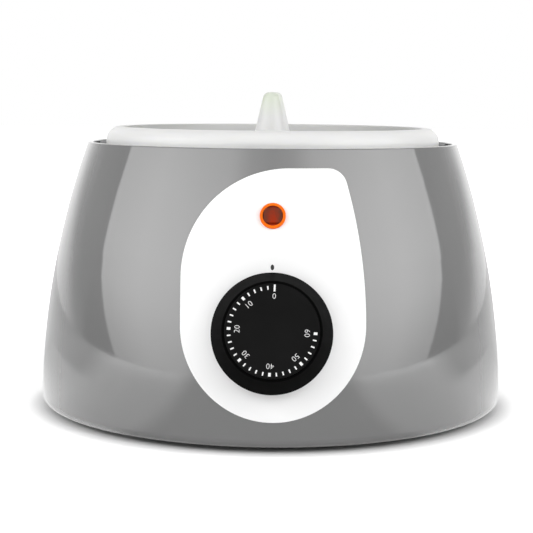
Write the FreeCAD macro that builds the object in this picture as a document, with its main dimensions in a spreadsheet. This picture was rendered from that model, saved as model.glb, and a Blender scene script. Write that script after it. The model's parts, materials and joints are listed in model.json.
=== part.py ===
import FreeCAD
import Part
import Sketcher
import math
import os

# Chocolate melter: a moulded casing with a dry heating well, a lift-out steel bowl and a lid.
# The origin is on the casing's axis, on the surface that the feet stand on. The dial faces -Y, +Z is up.
# Lengths are in millimetres, angles in degrees.

SIZES = {
    # The casing's shell
    "casing_radius": 120.14,
    "widest_height": -2.5,
    "flank_radius": 406.0,
    "casing_base": 2.5,
    "casing_rim": 136.5,
    "casing_wall": 2.5,
    "base_lip_width": 8.109,
    "base_round": 4.0,
    "rim_round": 0.7,
    "ledge_depth": 7.0,
    "ledge_thickness": 2.5,
    "ledge_width": 12.84,
    # The casing's screw bosses
    "boss_inset": 10.0,
    "boss_bearing": 45.0,
    "boss_radius": 4.5,
    "boss_height": 18.0,
    "boss_rib": 2.4,
    "screw_radius": 1.95,
    "screw_head_radius": 4.0,
    "screw_head_height": 2.4,
    "screw_length": 15.0,
    "thread_gap": 0.05,
    "hole_gap": 0.3,
    # The base plate and its feet
    "plate_bottom": 4.0,
    "plate_thickness": 2.5,
    "plate_gap": 0.3,
    "plate_ring_inset": 50.0,
    "plate_ring_width": 2.0,
    "plate_ring_height": 3.0,
    "vent_radius": 24.0,
    "vent_length": 24.0,
    "vent_width": 3.4,
    "foot_inset": 24.0,
    "foot_radius": 9.0,
    "foot_draft": 0.8,
    "foot_recess": 2.0,
    "foot_boss_height": 7.0,
    "foot_screw_radius": 1.5,
    "foot_screw_head": 3.2,
    # The printed label on the front
    "label_thickness": 0.4,
    "label_middle": 0.55,
    "label_lower_radius": 42.2,
    "label_lower_height": 57.0,
    "label_drop": 8.7,
    "label_corner_radius": 9.0,
    "label_lean": 16.0,
    "label_shoulder": 7.5,
    "label_dial_radius": 22.0,
    # The dial's station and the thermostat behind it
    "dial_height": 54.4,
    "dial_tilt": 13.5,
    "dial_hole": 5.0,
    "pad_radius": 20.0,
    "pad_depth": 6.5,
    "pad_rim": 3.4,
    "pad_hub": 8.0,
    "pad_core_depth": 2.6,
    "panel_screw_spacing": 28.0,
    "panel_screw_radius": 1.95,
    "panel_screw_head": 3.8,
    "panel_screw_seat": 2.2,
    "panel_boss_radius": 4.6,
    "mount_plate_width": 44.0,
    "mount_plate_height": 30.0,
    "mount_plate_thickness": 1.2,
    "thermostat_width": 36.0,
    "thermostat_height": 33.0,
    "thermostat_depth": 18.0,
    "thermostat_round": 2.5,
    "bush_radius": 4.7,
    "tab_width": 6.3,
    "tab_thickness": 0.8,
    "tab_length": 8.0,
    "tab_spacing": 16.0,
    "capsule_radius": 7.6,
    "capsule_depth": 3.6,
    "capsule_nipple": 1.5,
    "capsule_nipple_length": 4.5,
    # The spindle and the control knob
    "spindle_radius": 3.0,
    "spindle_flat": 1.6,
    "spindle_tail": 12.0,
    "spindle_reach": 16.0,
    "turning_gap": 0.05,
    "knob_back": 3.0,
    "knob_skirt_radius": 27.3,
    "knob_skirt_height": 2.2,
    "knob_ledge_radius": 22.0,
    "knob_ledge_height": 19.6,
    "knob_face_radius": 20.85,
    "knob_face_height": 21.0,
    "knob_wall": 2.0,
    "knob_hub_radius": 5.5,
    "knob_hub_back": 5.0,
    "knob_bore_depth": 12.0,
    "knob_rib": 1.2,
    "clip_thickness": 0.6,
    "clip_width": 4.0,
    "clip_start": 2.5,
    # The pilot lamp
    "lamp_drop": 30.0,
    "lamp_flange_radius": 5.9,
    "lamp_flange_height": 1.5,
    "lamp_seat": 0.45,
    "lamp_sleeve_radius": 5.0,
    "lamp_sleeve_depth": 8.0,
    "lamp_core_radius": 4.55,
    "lamp_core_depth": 14.0,
    "lamp_tab_length": 6.0,
    "lamp_window_width": 8.2,
    "lamp_dome": 0.6,
    "lamp_fit": 0.1,
    "lamp_clip_radius": 8.0,
    "lamp_clip_thickness": 0.5,
    # The heating well
    "well_wall": 1.5,
    "well_clearance": 5.6,
    "well_taper": 3.3,
    "well_floor": 43.0,
    "well_round": 8.0,
    "flange_gap": 3.94,
    "well_stud_radius": 2.0,
    "well_stud_length": 9.0,
    "heater_stud_radius": 2.5,
    "heater_stud_length": 15.0,
    "gasket_thickness": 0.6,
    "gasket_inset": 0.8,
    "well_nut_width": 7.0,
    "well_nut_height": 3.2,
    # The heater stack under the well
    "heater_inset": 29.7,
    "heater_thickness": 1.5,
    "insulation_thickness": 7.0,
    "insulation_margin": 3.0,
    "clamp_inset": 4.0,
    "clamp_thickness": 1.2,
    "clamp_rim": 1.4,
    "heater_nut_width": 8.0,
    "heater_nut_height": 4.0,
    "wrap_bottom": 52.0,
    "wrap_drop": 12.1,
    "wrap_thickness": 5.0,
    "wrap_gap": 0.3,
    "wrap_angle": 280.0,
    "cutout_offset": 13.0,
    "cutout_radius": 8.0,
    "cutout_height": 7.5,
    "cutout_cap_height": 3.0,
    "cutout_lug_spacing": 24.0,
    "cutout_stud_radius": 1.4,
    "cutout_nut_width": 5.5,
    "cutout_nut_height": 2.2,
    # The sensing bulb on the well's wall
    "bulb_radius": 3.0,
    "bulb_length": 42.0,
    "bulb_start": 51.0,
    "bulb_neck_radius": 1.6,
    "bulb_neck_length": 4.0,
    "seat_gap": 0.1,
    "strap_thickness": 0.8,
    "strap_width": 12.0,
    "strap_place": 16.0,
    "strap_ear": 5.0,
    "capillary_radius": 1.0,
    "capillary_drop": 23.0,
    "capillary_reach": 22.0,
    "capillary_sway": 2.0,
    # The cable gland at the back
    "gland_height": 24.0,
    "gland_pad_radius": 14.0,
    "gland_pad_rise": 0.46,
    "gland_pad_length": 6.1,
    "gland_thread_radius": 8.0,
    "gland_thread_length": 13.0,
    "gland_hex": 22.0,
    "gland_hex_length": 6.0,
    "gland_bore_radius": 4.3,
    "gland_stub_radius": 8.2,
    "gland_nut_hex": 20.8,
    "gland_nut_hex_length": 6.4,
    "gland_nut_length": 14.8,
    "gland_dome_radius": 9.9,
    "gland_dome_round": 4.0,
    "gland_seal_radius": 5.4,
    "gland_seal_length": 8.0,
    "gland_seal_bore": 4.1,
    "cord_bore_radius": 3.8,
    "locknut_width": 22.0,
    "locknut_length": 5.0,
    # The terminal block on the base plate
    "block_inset": 38.0,
    "block_width": 36.0,
    "block_depth": 17.0,
    "block_height": 14.0,
    "block_pitch": 11.0,
    "block_bore": 1.5,
    "block_screw_radius": 1.6,
    "block_screw_length": 3.6,
    "block_screw_sink": 1.0,
    # The leads inside the casing
    "lead_radius": 1.3,
    "lamp_lead_radius": 0.8,
    "lead_entry": 3.0,
    "lead_approach": 15.0,
    "tail_lead_step": 3.0,
    "lamp_lead_drop": 6.0,
    "stud_lead_drop": 16.0,
    "cutout_lead_drop": 9.0,
    "heater_tail": 10.0,
    "heater_tail_width": 14.0,
    "heater_terminal_pitch": 4.0,
    # The bowl
    "bowl_gap": 1.5,
    "bowl_floor_gap": 1.0,
    "bowl_wall": 1.2,
    "bowl_round": 8.0,
    "bowl_rim_overlap": 6.3,
    # The lid
    "lid_overhang": 3.0,
    "lid_wall": 2.2,
    "lid_crest_rise": 7.7,
    "lid_crest_round": 6.4,
    "lid_ring_width": 8.9,
    "lid_skirt_gap": 0.6,
    "lid_plate_rise": 3.7,
    "lid_plate_thickness": 2.2,
    "lid_spigot_gap": 0.9,
    "lid_spigot_wall": 1.8,
    "lid_spigot_depth": 5.3,
    "lid_yaw": 2.6,
    "grip_rise": 25.7,
    "grip_width": 18.9,
    "grip_length": 64.0,
    "grip_draft": 13.0,
    "grip_round": 3.2,
}

V = FreeCAD.Vector
doc = FreeCAD.newDocument("chocolate_melter")


class Dim:
    """A length or an angle: its value now, and the sheet expression that keeps it."""

    def __init__(self, value, text):
        self.value = value
        self.text = text

    @staticmethod
    def of(number):
        if isinstance(number, Dim):
            return number
        return Dim(float(number), f"({float(number)})")

    def joined(self, sign, other, value):
        return Dim(value, f"({self.text} {sign} {other.text})")

    def __add__(self, other):
        other = Dim.of(other)
        return self.joined("+", other, self.value + other.value)

    def __sub__(self, other):
        other = Dim.of(other)
        return self.joined("-", other, self.value - other.value)

    def __mul__(self, other):
        other = Dim.of(other)
        return self.joined("*", other, self.value * other.value)

    def __truediv__(self, other):
        other = Dim.of(other)
        return self.joined("/", other, self.value / other.value)

    def __radd__(self, other):
        return Dim.of(other) + self

    def __rsub__(self, other):
        return Dim.of(other) - self

    def __rmul__(self, other):
        return Dim.of(other) * self

    def __neg__(self):
        return Dim.of(0) - self


def root(dim):
    return Dim(math.sqrt(dim.value), f"sqrt({dim.text})")


def sine(dim):
    return Dim(math.sin(math.radians(dim.value)), f"sin({dim.text})")


def cosine(dim):
    return Dim(math.cos(math.radians(dim.value)), f"cos({dim.text})")


def arcsine(dim):
    return Dim(math.degrees(math.asin(dim.value)), f"(asin({dim.text}) / (1 deg))")


def arctangent(dim):
    return Dim(math.degrees(math.atan(dim.value)), f"(atan({dim.text}) / (1 deg))")


class Sheet:
    """The spreadsheet of driving sizes: each alias is an attribute that gives its Dim."""

    def __init__(self, sizes):
        sheet = doc.addObject("Spreadsheet::Sheet", "Sizes")
        for row, (alias, value) in enumerate(sizes.items(), start=1):
            sheet.set(f"A{row}", alias.replace("_", " "))
            sheet.set(f"B{row}", str(value))
            sheet.setAlias(f"B{row}", alias)
            setattr(self, alias, Dim(value, f"Sizes.{alias}"))
        doc.recompute()


size = Sheet(SIZES)


def bind(target, field, dim):
    """Keep one property or constraint of the target at a size."""
    target.setExpression(field, Dim.of(dim).text)


class Station:
    """A place in the plane X = 0, turned about X: its own Z axis is that of a dial, a lamp or a gland."""

    def __init__(self, y, z, turn):
        self.y = Dim.of(y)
        self.z = Dim.of(z)
        self.turn = Dim.of(turn)

    def out(self, distance):
        """The same station, further out along its own axis."""
        y = self.y - sine(self.turn) * distance
        z = self.z + cosine(self.turn) * distance
        return Station(y, z, self.turn)

    def hold(self, target, field):
        """Keep a placement of the target at this station."""
        turn = FreeCAD.Rotation(V(1, 0, 0), self.turn.value)
        setattr(target, field, FreeCAD.Placement(V(0, self.y.value, self.z.value), turn))
        bind(target, f"{field}.Base.y", self.y)
        bind(target, f"{field}.Base.z", self.z)
        bind(target, f"{field}.Rotation.Angle", self.turn)

    def point(self, x, y, z):
        """Where a point of the station's own frame lies on the object."""
        turn = FreeCAD.Rotation(V(1, 0, 0), self.turn.value)
        return V(0, self.y.value, self.z.value) + turn.multVec(V(x, y, z))


def new_body(name, station=None):
    body = doc.addObject("PartDesign::Body", name)
    body.Label = name
    if station:
        station.hold(body, "Placement")
    return body


def origin_feature(body, role):
    return next(item for item in body.Origin.OriginFeatures if item.Role == role)


def sketch_on(body, plane="XY_Plane", height=None, station=None, bearing=None):
    """A sketch on an origin plane, at a height above it, at a station, or turned about Z to a bearing."""
    sketch = body.newObject("Sketcher::SketchObject", f"{body.Name}_sketch")
    sketch.AttachmentSupport = (origin_feature(body, plane), [""])
    sketch.MapMode = "FlatFace"
    if height is not None:
        bind(sketch, "AttachmentOffset.Base.z", height)
    if station is not None:
        station.hold(sketch, "AttachmentOffset")
    if bearing is not None:
        turn = FreeCAD.Rotation(V(0, 1, 0), Dim.of(bearing).value)
        sketch.AttachmentOffset = FreeCAD.Placement(V(0, 0, 0), turn)
        bind(sketch, "AttachmentOffset.Rotation.Angle", bearing)
    doc.recompute()
    return sketch


def hold_point(sketch, edge, end, x, y):
    """Keep one end (or the centre) of a sketch edge at x, y from the sketch's origin."""
    for kind, axis, value in (("DistanceX", -2, x), ("DistanceY", -1, y)):
        if not isinstance(value, Dim) and value == 0:
            sketch.addConstraint(Sketcher.Constraint("PointOnObject", edge, end, axis))
            continue
        dim = Dim.of(value)
        index = sketch.addConstraint(Sketcher.Constraint(kind, -1, 1, edge, end, dim.value))
        bind(sketch, f"Constraints[{index}]", dim)


def arc_between(start, finish, radius):
    """The arc from start to finish, anticlockwise for a positive radius and clockwise for a negative one."""
    chord = finish - start
    reach = abs(radius)
    rise = math.sqrt(max(reach**2 - (chord.Length / 2) ** 2, 0.0))
    side = V(-chord.y, chord.x, 0) / chord.Length * math.copysign(rise, radius)
    centre = (start + finish) / 2 + side
    first, last = (start, finish) if radius > 0 else (finish, start)
    angles = [math.atan2(point.y - centre.y, point.x - centre.x) for point in (first, last)]
    return Part.ArcOfCircle(Part.Circle(centre, V(0, 0, 1), reach), *angles)


def outline(sketch, corners):
    """Draw a closed chain, anticlockwise. A corner is (x, y), or (x, y, radius) before an arc.

    An arc with a positive radius bows out of the outline, one with a negative radius bows into it."""
    places = [V(Dim.of(corner[0]).value, Dim.of(corner[1]).value, 0) for corner in corners]
    edges = []
    for index, corner in enumerate(corners):
        start = places[index]
        finish = places[(index + 1) % len(places)]
        if len(corner) == 2:
            edge = sketch.addGeometry(Part.LineSegment(start, finish), False)
            edges.append((edge, 1, 2))
            continue
        radius = Dim.of(corner[2])
        edge = sketch.addGeometry(arc_between(start, finish, radius.value), False)
        edges.append((edge, 1, 2) if radius.value > 0 else (edge, 2, 1))
    for index, (edge, start, finish) in enumerate(edges):
        after, after_start, _ = edges[(index + 1) % len(edges)]
        sketch.addConstraint(Sketcher.Constraint("Coincident", edge, finish, after, after_start))
        hold_point(sketch, edge, start, corners[index][0], corners[index][1])
        if len(corners[index]) == 3:
            radius = Dim.of(corners[index][2])
            value = abs(radius.value)
            held = sketch.addConstraint(Sketcher.Constraint("Radius", edge, value))
            bind(sketch, f"Constraints[{held}]", radius if radius.value > 0 else -radius)
    return sketch


def circle(sketch, x, y, radius):
    centre = V(Dim.of(x).value, Dim.of(y).value, 0)
    edge = sketch.addGeometry(Part.Circle(centre, V(0, 0, 1), Dim.of(radius).value), False)
    hold_point(sketch, edge, 3, x, y)
    held = sketch.addConstraint(Sketcher.Constraint("Radius", edge, Dim.of(radius).value))
    bind(sketch, f"Constraints[{held}]", radius)
    return sketch


def rectangle(sketch, width, height, x=0, y=0):
    """A rectangle centred at x, y."""
    left, right = x - width / 2, x + width / 2
    low, high = y - height / 2, y + height / 2
    return outline(sketch, [(left, low), (right, low), (right, high), (left, high)])


def slot(sketch, width, length, x=0, y=0):
    """A slot with round ends, centred at x, y and long in the sketch's y direction."""
    half = width / 2
    straight = length / 2 - half
    corners = [
        (x + half, y - straight),
        (x + half, y + straight, half),
        (Dim.of(x), y + straight + half, half),
        (x - half, y + straight),
        (x - half, y - straight, half),
        (Dim.of(x), y - straight - half, half),
    ]
    return outline(sketch, corners)


def hexagon(sketch, across_flats, x=0, y=0):
    """A regular hexagon centred at x, y with two flats facing the sketch's y direction."""
    corner = across_flats / root(Dim.of(3))
    half = across_flats / 2
    corners = [
        (x + corner, Dim.of(y)),
        (x + corner / 2, y + half),
        (x - corner / 2, y + half),
        (x - corner, Dim.of(y)),
        (x - corner / 2, y - half),
        (x + corner / 2, y - half),
    ]
    return outline(sketch, corners)


def volume_of(body):
    return body.Shape.Volume


def revolve(body, corners, bearing=None, axis_x=None, angle=None, cut=False, midplane=False):
    """Turn an outline of (radius, height) corners about Z, or about an upright line at axis_x."""
    sketch = outline(sketch_on(body, "XZ_Plane", bearing=bearing), corners)
    axis = "V_Axis"
    if axis_x is not None:
        line = Part.LineSegment(V(axis_x.value, 0, 0), V(axis_x.value, 10, 0))
        edge = sketch.addGeometry(line, True)
        sketch.addConstraint(Sketcher.Constraint("Vertical", edge))
        hold_point(sketch, edge, 1, axis_x, 0)
        axis = "Axis0"
    before = 0.0 if not body.Tip else volume_of(body)
    kind = "PartDesign::Groove" if cut else "PartDesign::Revolution"
    feature = body.newObject(kind, f"{body.Name}_{'groove' if cut else 'turned'}")
    feature.Profile = sketch
    feature.ReferenceAxis = (sketch, [axis])
    feature.Midplane = midplane
    feature.Angle = 360
    if angle is not None:
        bind(feature, "Angle", angle)
    doc.recompute()
    if cut and not volume_of(body) < before:
        raise RuntimeError(f"{feature.Name} cuts nothing")
    return feature


def pad(sketch, length, down=False, midplane=False):
    body = sketch.getParentGeoFeatureGroup()
    feature = body.newObject("PartDesign::Pad", f"{body.Name}_pad")
    feature.Profile = sketch
    feature.Reversed = down
    feature.Midplane = midplane
    bind(feature, "Length", length)
    doc.recompute()
    return feature


def pocket(sketch, depth, up=False, midplane=False):
    """Cut a sketch into its body, against the sketch's normal unless up is set."""
    body = sketch.getParentGeoFeatureGroup()
    before = volume_of(body)
    feature = body.newObject("PartDesign::Pocket", f"{body.Name}_pocket")
    feature.Profile = sketch
    feature.Reversed = up
    feature.Midplane = midplane
    bind(feature, "Length", depth)
    doc.recompute()
    if not volume_of(body) < before - 1e-6:
        raise RuntimeError(f"{feature.Name} cuts nothing")
    return feature


def ring_of(body, features, count):
    """Repeat features evenly about the body's Z axis."""
    feature = body.newObject("PartDesign::PolarPattern", f"{body.Name}_ring")
    feature.Originals = features
    feature.Axis = (origin_feature(body, "Z_Axis"), [""])
    feature.Angle = 360
    feature.Occurrences = count
    body.Tip = feature
    doc.recompute()
    return feature


def loft(body, sketches, cut=False):
    kind = "PartDesign::SubtractiveLoft" if cut else "PartDesign::AdditiveLoft"
    before = volume_of(body)
    feature = body.newObject(kind, f"{body.Name}_loft")
    feature.Profile = sketches[0]
    feature.Sections = sketches[1:]
    feature.Ruled = True
    doc.recompute()
    if cut and not volume_of(body) < before:
        raise RuntimeError(f"{feature.Name} cuts nothing")
    return feature


def rounded(body, radius, picks, kind="PartDesign::Fillet"):
    """Round (or chamfer) every edge of the body's tip that one of the picks accepts."""
    tip = body.Tip
    names = []
    for index, edge in enumerate(tip.Shape.Edges, start=1):
        if any(pick(edge) for pick in picks):
            names.append(f"Edge{index}")
    if not names:
        raise RuntimeError(f"{body.Name} has no edge to round")
    feature = body.newObject(kind, f"{body.Name}_round")
    feature.Base = (tip, names)
    bind(feature, "Radius" if kind.endswith("Fillet") else "Size", radius)
    doc.recompute()
    return feature


def at_ring(radius, height):
    """Accept the circular edges of one radius about the body's Z axis, at one height."""

    def accept(edge):
        curve = edge.Curve
        if not isinstance(curve, Part.Circle):
            return False
        centre = curve.Center
        near = abs(curve.Radius - radius.value) < 0.01 and abs(centre.z - height.value) < 0.01
        return near and math.hypot(centre.x, centre.y) < 0.01

    return accept


def at_height(height):
    """Accept the edges that lie wholly at one height of the body's own frame."""

    def accept(edge):
        box = edge.BoundBox
        return abs(box.ZMin - height.value) < 0.01 and abs(box.ZMax - height.value) < 0.01

    return accept


def upright(shortest):
    """Accept the straight upright edges that are at least this long."""

    def accept(edge):
        box = edge.BoundBox
        straight = isinstance(edge.Curve, Part.Line)
        return straight and box.ZLength > shortest.value and max(box.XLength, box.YLength) < 0.01

    return accept


# Sizes that several pieces share

def wall_radius(height, inset=0):
    """The radius of the casing's flank at a height, or of a surface further in."""
    reach = size.flank_radius - inset
    rise = height - size.widest_height
    return size.casing_radius - size.flank_radius + root(reach * reach - rise * rise)


inner_reach = size.flank_radius - size.casing_wall
lip_top = size.casing_base + size.casing_wall
base_lip_radius = wall_radius(size.casing_base) - size.base_lip_width
boss_circle = base_lip_radius - size.boss_inset
foot_circle = base_lip_radius - size.foot_inset
plate_ring_radius = base_lip_radius - size.plate_ring_inset
block_place = base_lip_radius - size.block_inset
gland_pad_outer = size.casing_radius + size.gland_pad_rise
ledge_top = size.casing_rim - size.ledge_depth
ledge_wall = wall_radius(ledge_top, size.casing_wall)
ledge_radius = ledge_wall - size.ledge_width
well_flange_radius = ledge_wall - size.flange_gap
stud_circle = (ledge_radius + well_flange_radius) / 2
well_mouth_radius = ledge_radius - size.well_clearance
well_floor_radius = well_mouth_radius - size.well_taper
heater_radius = well_floor_radius - size.heater_inset
insulation_radius = heater_radius + size.insulation_margin
clamp_radius = heater_radius - size.clamp_inset
cutout_place = heater_radius + size.cutout_offset
bowl_rim_radius = well_mouth_radius + size.bowl_rim_overlap
lid_radius = bowl_rim_radius + size.lid_overhang
lid_inner_radius = lid_radius - size.lid_ring_width
plate_top = size.plate_bottom + size.plate_thickness
ledge_bottom = ledge_top - size.ledge_thickness
well_underside = size.well_floor - size.well_wall
flange_bottom = ledge_top + size.gasket_thickness
flange_top = flange_bottom + size.well_wall
well_slope = size.well_taper / (flange_top - size.well_floor)
bowl_bottom = size.well_floor + size.bowl_floor_gap
bowl_floor = bowl_bottom + size.bowl_wall
bowl_rim_top = flange_top + size.bowl_wall
bowl_foot_radius = well_floor_radius - size.bowl_gap
bowl_mouth_radius = well_mouth_radius - size.bowl_gap
mat_bottom = well_underside - size.heater_thickness
insulation_bottom = mat_bottom - size.insulation_thickness
clamp_bottom = insulation_bottom - size.clamp_thickness
hole_radius = size.screw_radius + size.hole_gap
panel_hole = size.panel_screw_radius + size.hole_gap
pad_face = -size.pad_depth
body_face = pad_face - size.mount_plate_thickness
thermostat_back = body_face - size.thermostat_depth
capsule_middle = size.thermostat_height / 4
tab_place = -size.thermostat_height / 4
wire_height = plate_top + size.block_height / 2
rear_bearing = 90
front_bearing = 270


def well_outside(height):
    """The outer radius of the well's tapered wall at a height."""
    return well_floor_radius + size.well_wall + well_slope * (height - size.well_floor)


wrap_top = flange_bottom - size.wrap_drop
label_top = size.casing_rim - size.label_drop
lamp_height = size.casing_rim - size.lamp_drop
lid_plate_top = bowl_rim_top + size.lid_plate_rise
lid_crest = lid_plate_top + size.lid_crest_rise
grip_top = lid_plate_top + size.grip_rise
dial = Station(-wall_radius(size.dial_height), size.dial_height, 90 - size.dial_tilt)
lamp_rise = (lamp_height - size.widest_height) / size.flank_radius
lamp = Station(-wall_radius(lamp_height), lamp_height, 90 - arcsine(lamp_rise))
gland = Station(gland_pad_outer, size.gland_height, 270)
bulb_foot = well_outside(size.bulb_start) + size.bulb_radius + size.seat_gap
bulb = Station(-bulb_foot, size.bulb_start, arctangent(well_slope))


def casing():
    """The moulded shell: a bowed flank, a base lip, a ledge for the well, and bosses and pads inside."""
    body = new_body("casing")
    rim_outer = wall_radius(size.casing_rim)
    rim_inner = wall_radius(size.casing_rim, size.casing_wall)
    corners = [
        (base_lip_radius, size.casing_base),
        (wall_radius(size.casing_base), size.casing_base, size.flank_radius),
        (rim_outer, size.casing_rim),
        (rim_inner, size.casing_rim, -inner_reach),
        (wall_radius(ledge_top, size.casing_wall), ledge_top),
        (ledge_radius, ledge_top),
        (ledge_radius, ledge_bottom),
        (wall_radius(ledge_bottom, size.casing_wall), ledge_bottom, -inner_reach),
        (wall_radius(lip_top, size.casing_wall), lip_top),
        (base_lip_radius, lip_top),
    ]
    revolve(body, corners)
    # The thermostat's pad starts flat inside and is trimmed to the flank outside.
    pad(circle(sketch_on(body, station=dial.out(pad_face)), 0, 0, size.pad_radius), size.pad_depth * 1.5)
    low = size.dial_height - size.pad_radius * 1.5
    high = size.dial_height + size.pad_radius * 1.5
    beyond = size.casing_radius + size.pad_depth * 2
    trim = [
        (wall_radius(low), low),
        (beyond, low),
        (beyond, high),
        (wall_radius(high), high, -size.flank_radius),
    ]
    revolve(body, trim, cut=True)
    core = sketch_on(body, station=dial.out(pad_face))
    circle(core, 0, 0, size.pad_radius - size.pad_rim)
    circle(core, 0, 0, size.pad_hub)
    pocket(core, size.pad_core_depth, up=True)
    sides = (-size.panel_screw_spacing / 2, size.panel_screw_spacing / 2)
    for x in sides:
        pad(circle(sketch_on(body, station=dial.out(pad_face)), x, 0, size.panel_boss_radius),
            size.pad_core_depth)
    through = size.pad_depth * 3
    pocket(circle(sketch_on(body, station=dial), 0, 0, size.dial_hole), through, midplane=True)
    for x in sides:
        pocket(circle(sketch_on(body, station=dial), x, 0, panel_hole), through, midplane=True)
        seat = sketch_on(body, station=dial.out(-size.panel_screw_seat))
        pocket(circle(seat, x, 0, size.panel_screw_head + size.hole_gap), through, up=True)
    lamp_hole = size.lamp_sleeve_radius + size.lamp_fit
    pocket(circle(sketch_on(body, station=lamp), 0, 0, lamp_hole), size.casing_wall * 4, midplane=True)
    # The base rounds into the flank, and the rim's two edges are eased.
    rounded(body, size.base_round, [at_ring(wall_radius(size.casing_base), size.casing_base)])
    rounded(body, size.rim_round, [at_ring(rim_outer, size.casing_rim), at_ring(rim_inner, size.casing_rim)])
    # Four bosses take the base plate's screws, each with a rib to the flank.
    across = boss_circle * cosine(size.boss_bearing)
    along = boss_circle * sine(size.boss_bearing)
    boss = pad(circle(sketch_on(body, height=plate_top), across, along, size.boss_radius), size.boss_height)
    rib_end = wall_radius(plate_top + size.boss_height, size.casing_wall * 0.5)
    rib = sketch_on(body, "XZ_Plane", bearing=size.boss_bearing)
    rib_top = plate_top + size.boss_height
    outline(rib, [
        (boss_circle, plate_top),
        (rib_end, plate_top),
        (rib_end, rib_top),
        (boss_circle, rib_top - size.boss_radius),
    ])
    web = pad(rib, size.boss_rib, midplane=True)
    ring_of(body, [boss, web], 4)
    pilot = circle(sketch_on(body, height=plate_top), across, along, size.screw_radius + size.thread_gap)
    ring_of(body, [pocket(pilot, size.boss_height - size.casing_wall, up=True)], 4)
    # The well's studs pass through the ledge.
    across = stud_circle * cosine(size.boss_bearing)
    along = stud_circle * sine(size.boss_bearing)
    stud_hole = size.well_stud_radius + size.hole_gap
    hole = circle(sketch_on(body, height=ledge_top), across, along, stud_hole)
    ring_of(body, [pocket(hole, size.ledge_thickness * 2, midplane=True)], 4)
    # The gland seats on a flat boss at the back.
    inside = gland.out(-size.gland_pad_length)
    pad(circle(sketch_on(body, station=inside), 0, 0, size.gland_pad_radius), size.gland_pad_length)
    bore = size.gland_thread_radius + size.hole_gap
    pocket(circle(sketch_on(body, station=inside), 0, 0, bore), size.gland_pad_length * 3, midplane=True)
    return body


def front_label():
    """The white printed panel: a thin skin on the flank, trimmed to its drop-shaped outline."""
    body = new_body("front_label")
    low = size.label_lower_height - size.label_lower_radius - 1
    high = label_top + 1
    skin = size.label_thickness
    corners = [
        (wall_radius(low), low),
        (wall_radius(low, -skin), low, size.flank_radius + skin),
        (wall_radius(high, -skin), high),
        (wall_radius(high), high, -size.flank_radius),
    ]
    revolve(body, corners, bearing=front_bearing, angle=60, midplane=True)
    left = size.label_middle - size.label_lower_radius
    right = size.label_middle + size.label_lower_radius
    corner_height = label_top - size.label_corner_radius
    side_top = corner_height + size.label_corner_radius * sine(size.label_lean)
    side_radius = (side_top - size.label_lower_height) / sine(size.label_lean)
    side_x = right - side_radius * (1 - cosine(size.label_lean))
    corner_x = side_x - size.label_corner_radius * cosine(size.label_lean)
    shoulder_radius = size.label_shoulder - left
    shoulder_height = label_top - shoulder_radius
    drop = [
        (right, size.label_lower_height, side_radius),
        (side_x, side_top, size.label_corner_radius),
        (corner_x, label_top),
        (size.label_shoulder, label_top, shoulder_radius),
        (left, shoulder_height),
        (left, size.label_lower_height, size.label_lower_radius),
        (size.label_middle, size.label_lower_height - size.label_lower_radius, size.label_lower_radius),
    ]
    waste = sketch_on(body, "XZ_Plane")
    outline(waste, drop)
    rectangle(waste, size.casing_radius * 1.9, size.casing_radius * 1.9, 0, size.label_lower_height)
    pocket(waste, size.casing_radius * 1.5, up=True)
    reach = size.casing_wall * 8
    dial_hole = sketch_on(body, station=dial)
    pocket(circle(dial_hole, 0, 0, size.label_dial_radius), reach, midplane=True)
    lamp_hole = size.lamp_sleeve_radius + size.lamp_fit
    pocket(circle(sketch_on(body, station=lamp), 0, 0, lamp_hole), reach, midplane=True)
    return body


def base_plate():
    """The pressed-in floor of the casing, with vents, a stiffening ring and bosses for the feet."""
    body = new_body("base_plate")
    radius = base_lip_radius - size.plate_gap
    ring = plate_ring_radius
    ring_top = plate_top + size.plate_ring_height
    corners = [
        (0, size.plate_bottom),
        (radius, size.plate_bottom),
        (radius, plate_top),
        (ring + size.plate_ring_width, plate_top),
        (ring + size.plate_ring_width, ring_top),
        (ring, ring_top),
        (ring, plate_top),
        (0, plate_top),
    ]
    revolve(body, corners)
    boss = circle(sketch_on(body, height=plate_top), foot_circle, 0, size.boss_radius)
    ring_of(body, [pad(boss, size.foot_boss_height)], 4)
    pilot_radius = size.foot_screw_radius + size.thread_gap
    pilot = circle(sketch_on(body, height=size.plate_bottom), foot_circle, 0, pilot_radius)
    depth = size.plate_thickness + size.foot_boss_height
    ring_of(body, [pocket(pilot, depth, up=True)], 4)
    across = boss_circle * cosine(size.boss_bearing)
    along = boss_circle * sine(size.boss_bearing)
    hole = circle(sketch_on(body, height=size.plate_bottom), across, along, hole_radius)
    ring_of(body, [pocket(hole, size.plate_thickness, up=True)], 4)
    vent = sketch_on(body, height=size.plate_bottom)
    slot(vent, size.vent_width, size.vent_length, 0, size.vent_radius + size.vent_length / 2)
    ring_of(body, [pocket(vent, size.plate_thickness, up=True)], 12)
    return body


def cross_recess(body, level, head, head_height, x, y):
    """The two crossing slots for a screwdriver, cut upwards from a head's face."""
    cuts = []
    for width, length in ((head * 1.2, head * 0.3), (head * 0.3, head * 1.2)):
        slit = rectangle(sketch_on(body, height=level), width, length, x, y)
        cuts.append(pocket(slit, head_height * 0.6, up=True))
    return cuts


def screw_group(name, place, bearing, head_bottom, head, head_height, shank, length):
    """Four upright screws in a ring, heads down."""
    body = new_body(name)
    top = head_bottom + head_height
    tip = top + length
    corners = [
        (place, head_bottom),
        (place + head, head_bottom),
        (place + head, top),
        (place + shank, top),
        (place + shank, tip - shank / 2),
        (place + shank / 2, tip),
        (place, tip),
    ]
    screw = revolve(body, corners, bearing=bearing, axis_x=place)
    across = place * cosine(Dim.of(bearing))
    along = place * sine(Dim.of(bearing))
    cuts = cross_recess(body, head_bottom, head, head_height, across, along)
    ring_of(body, [screw, *cuts], 4)
    return body


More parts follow.
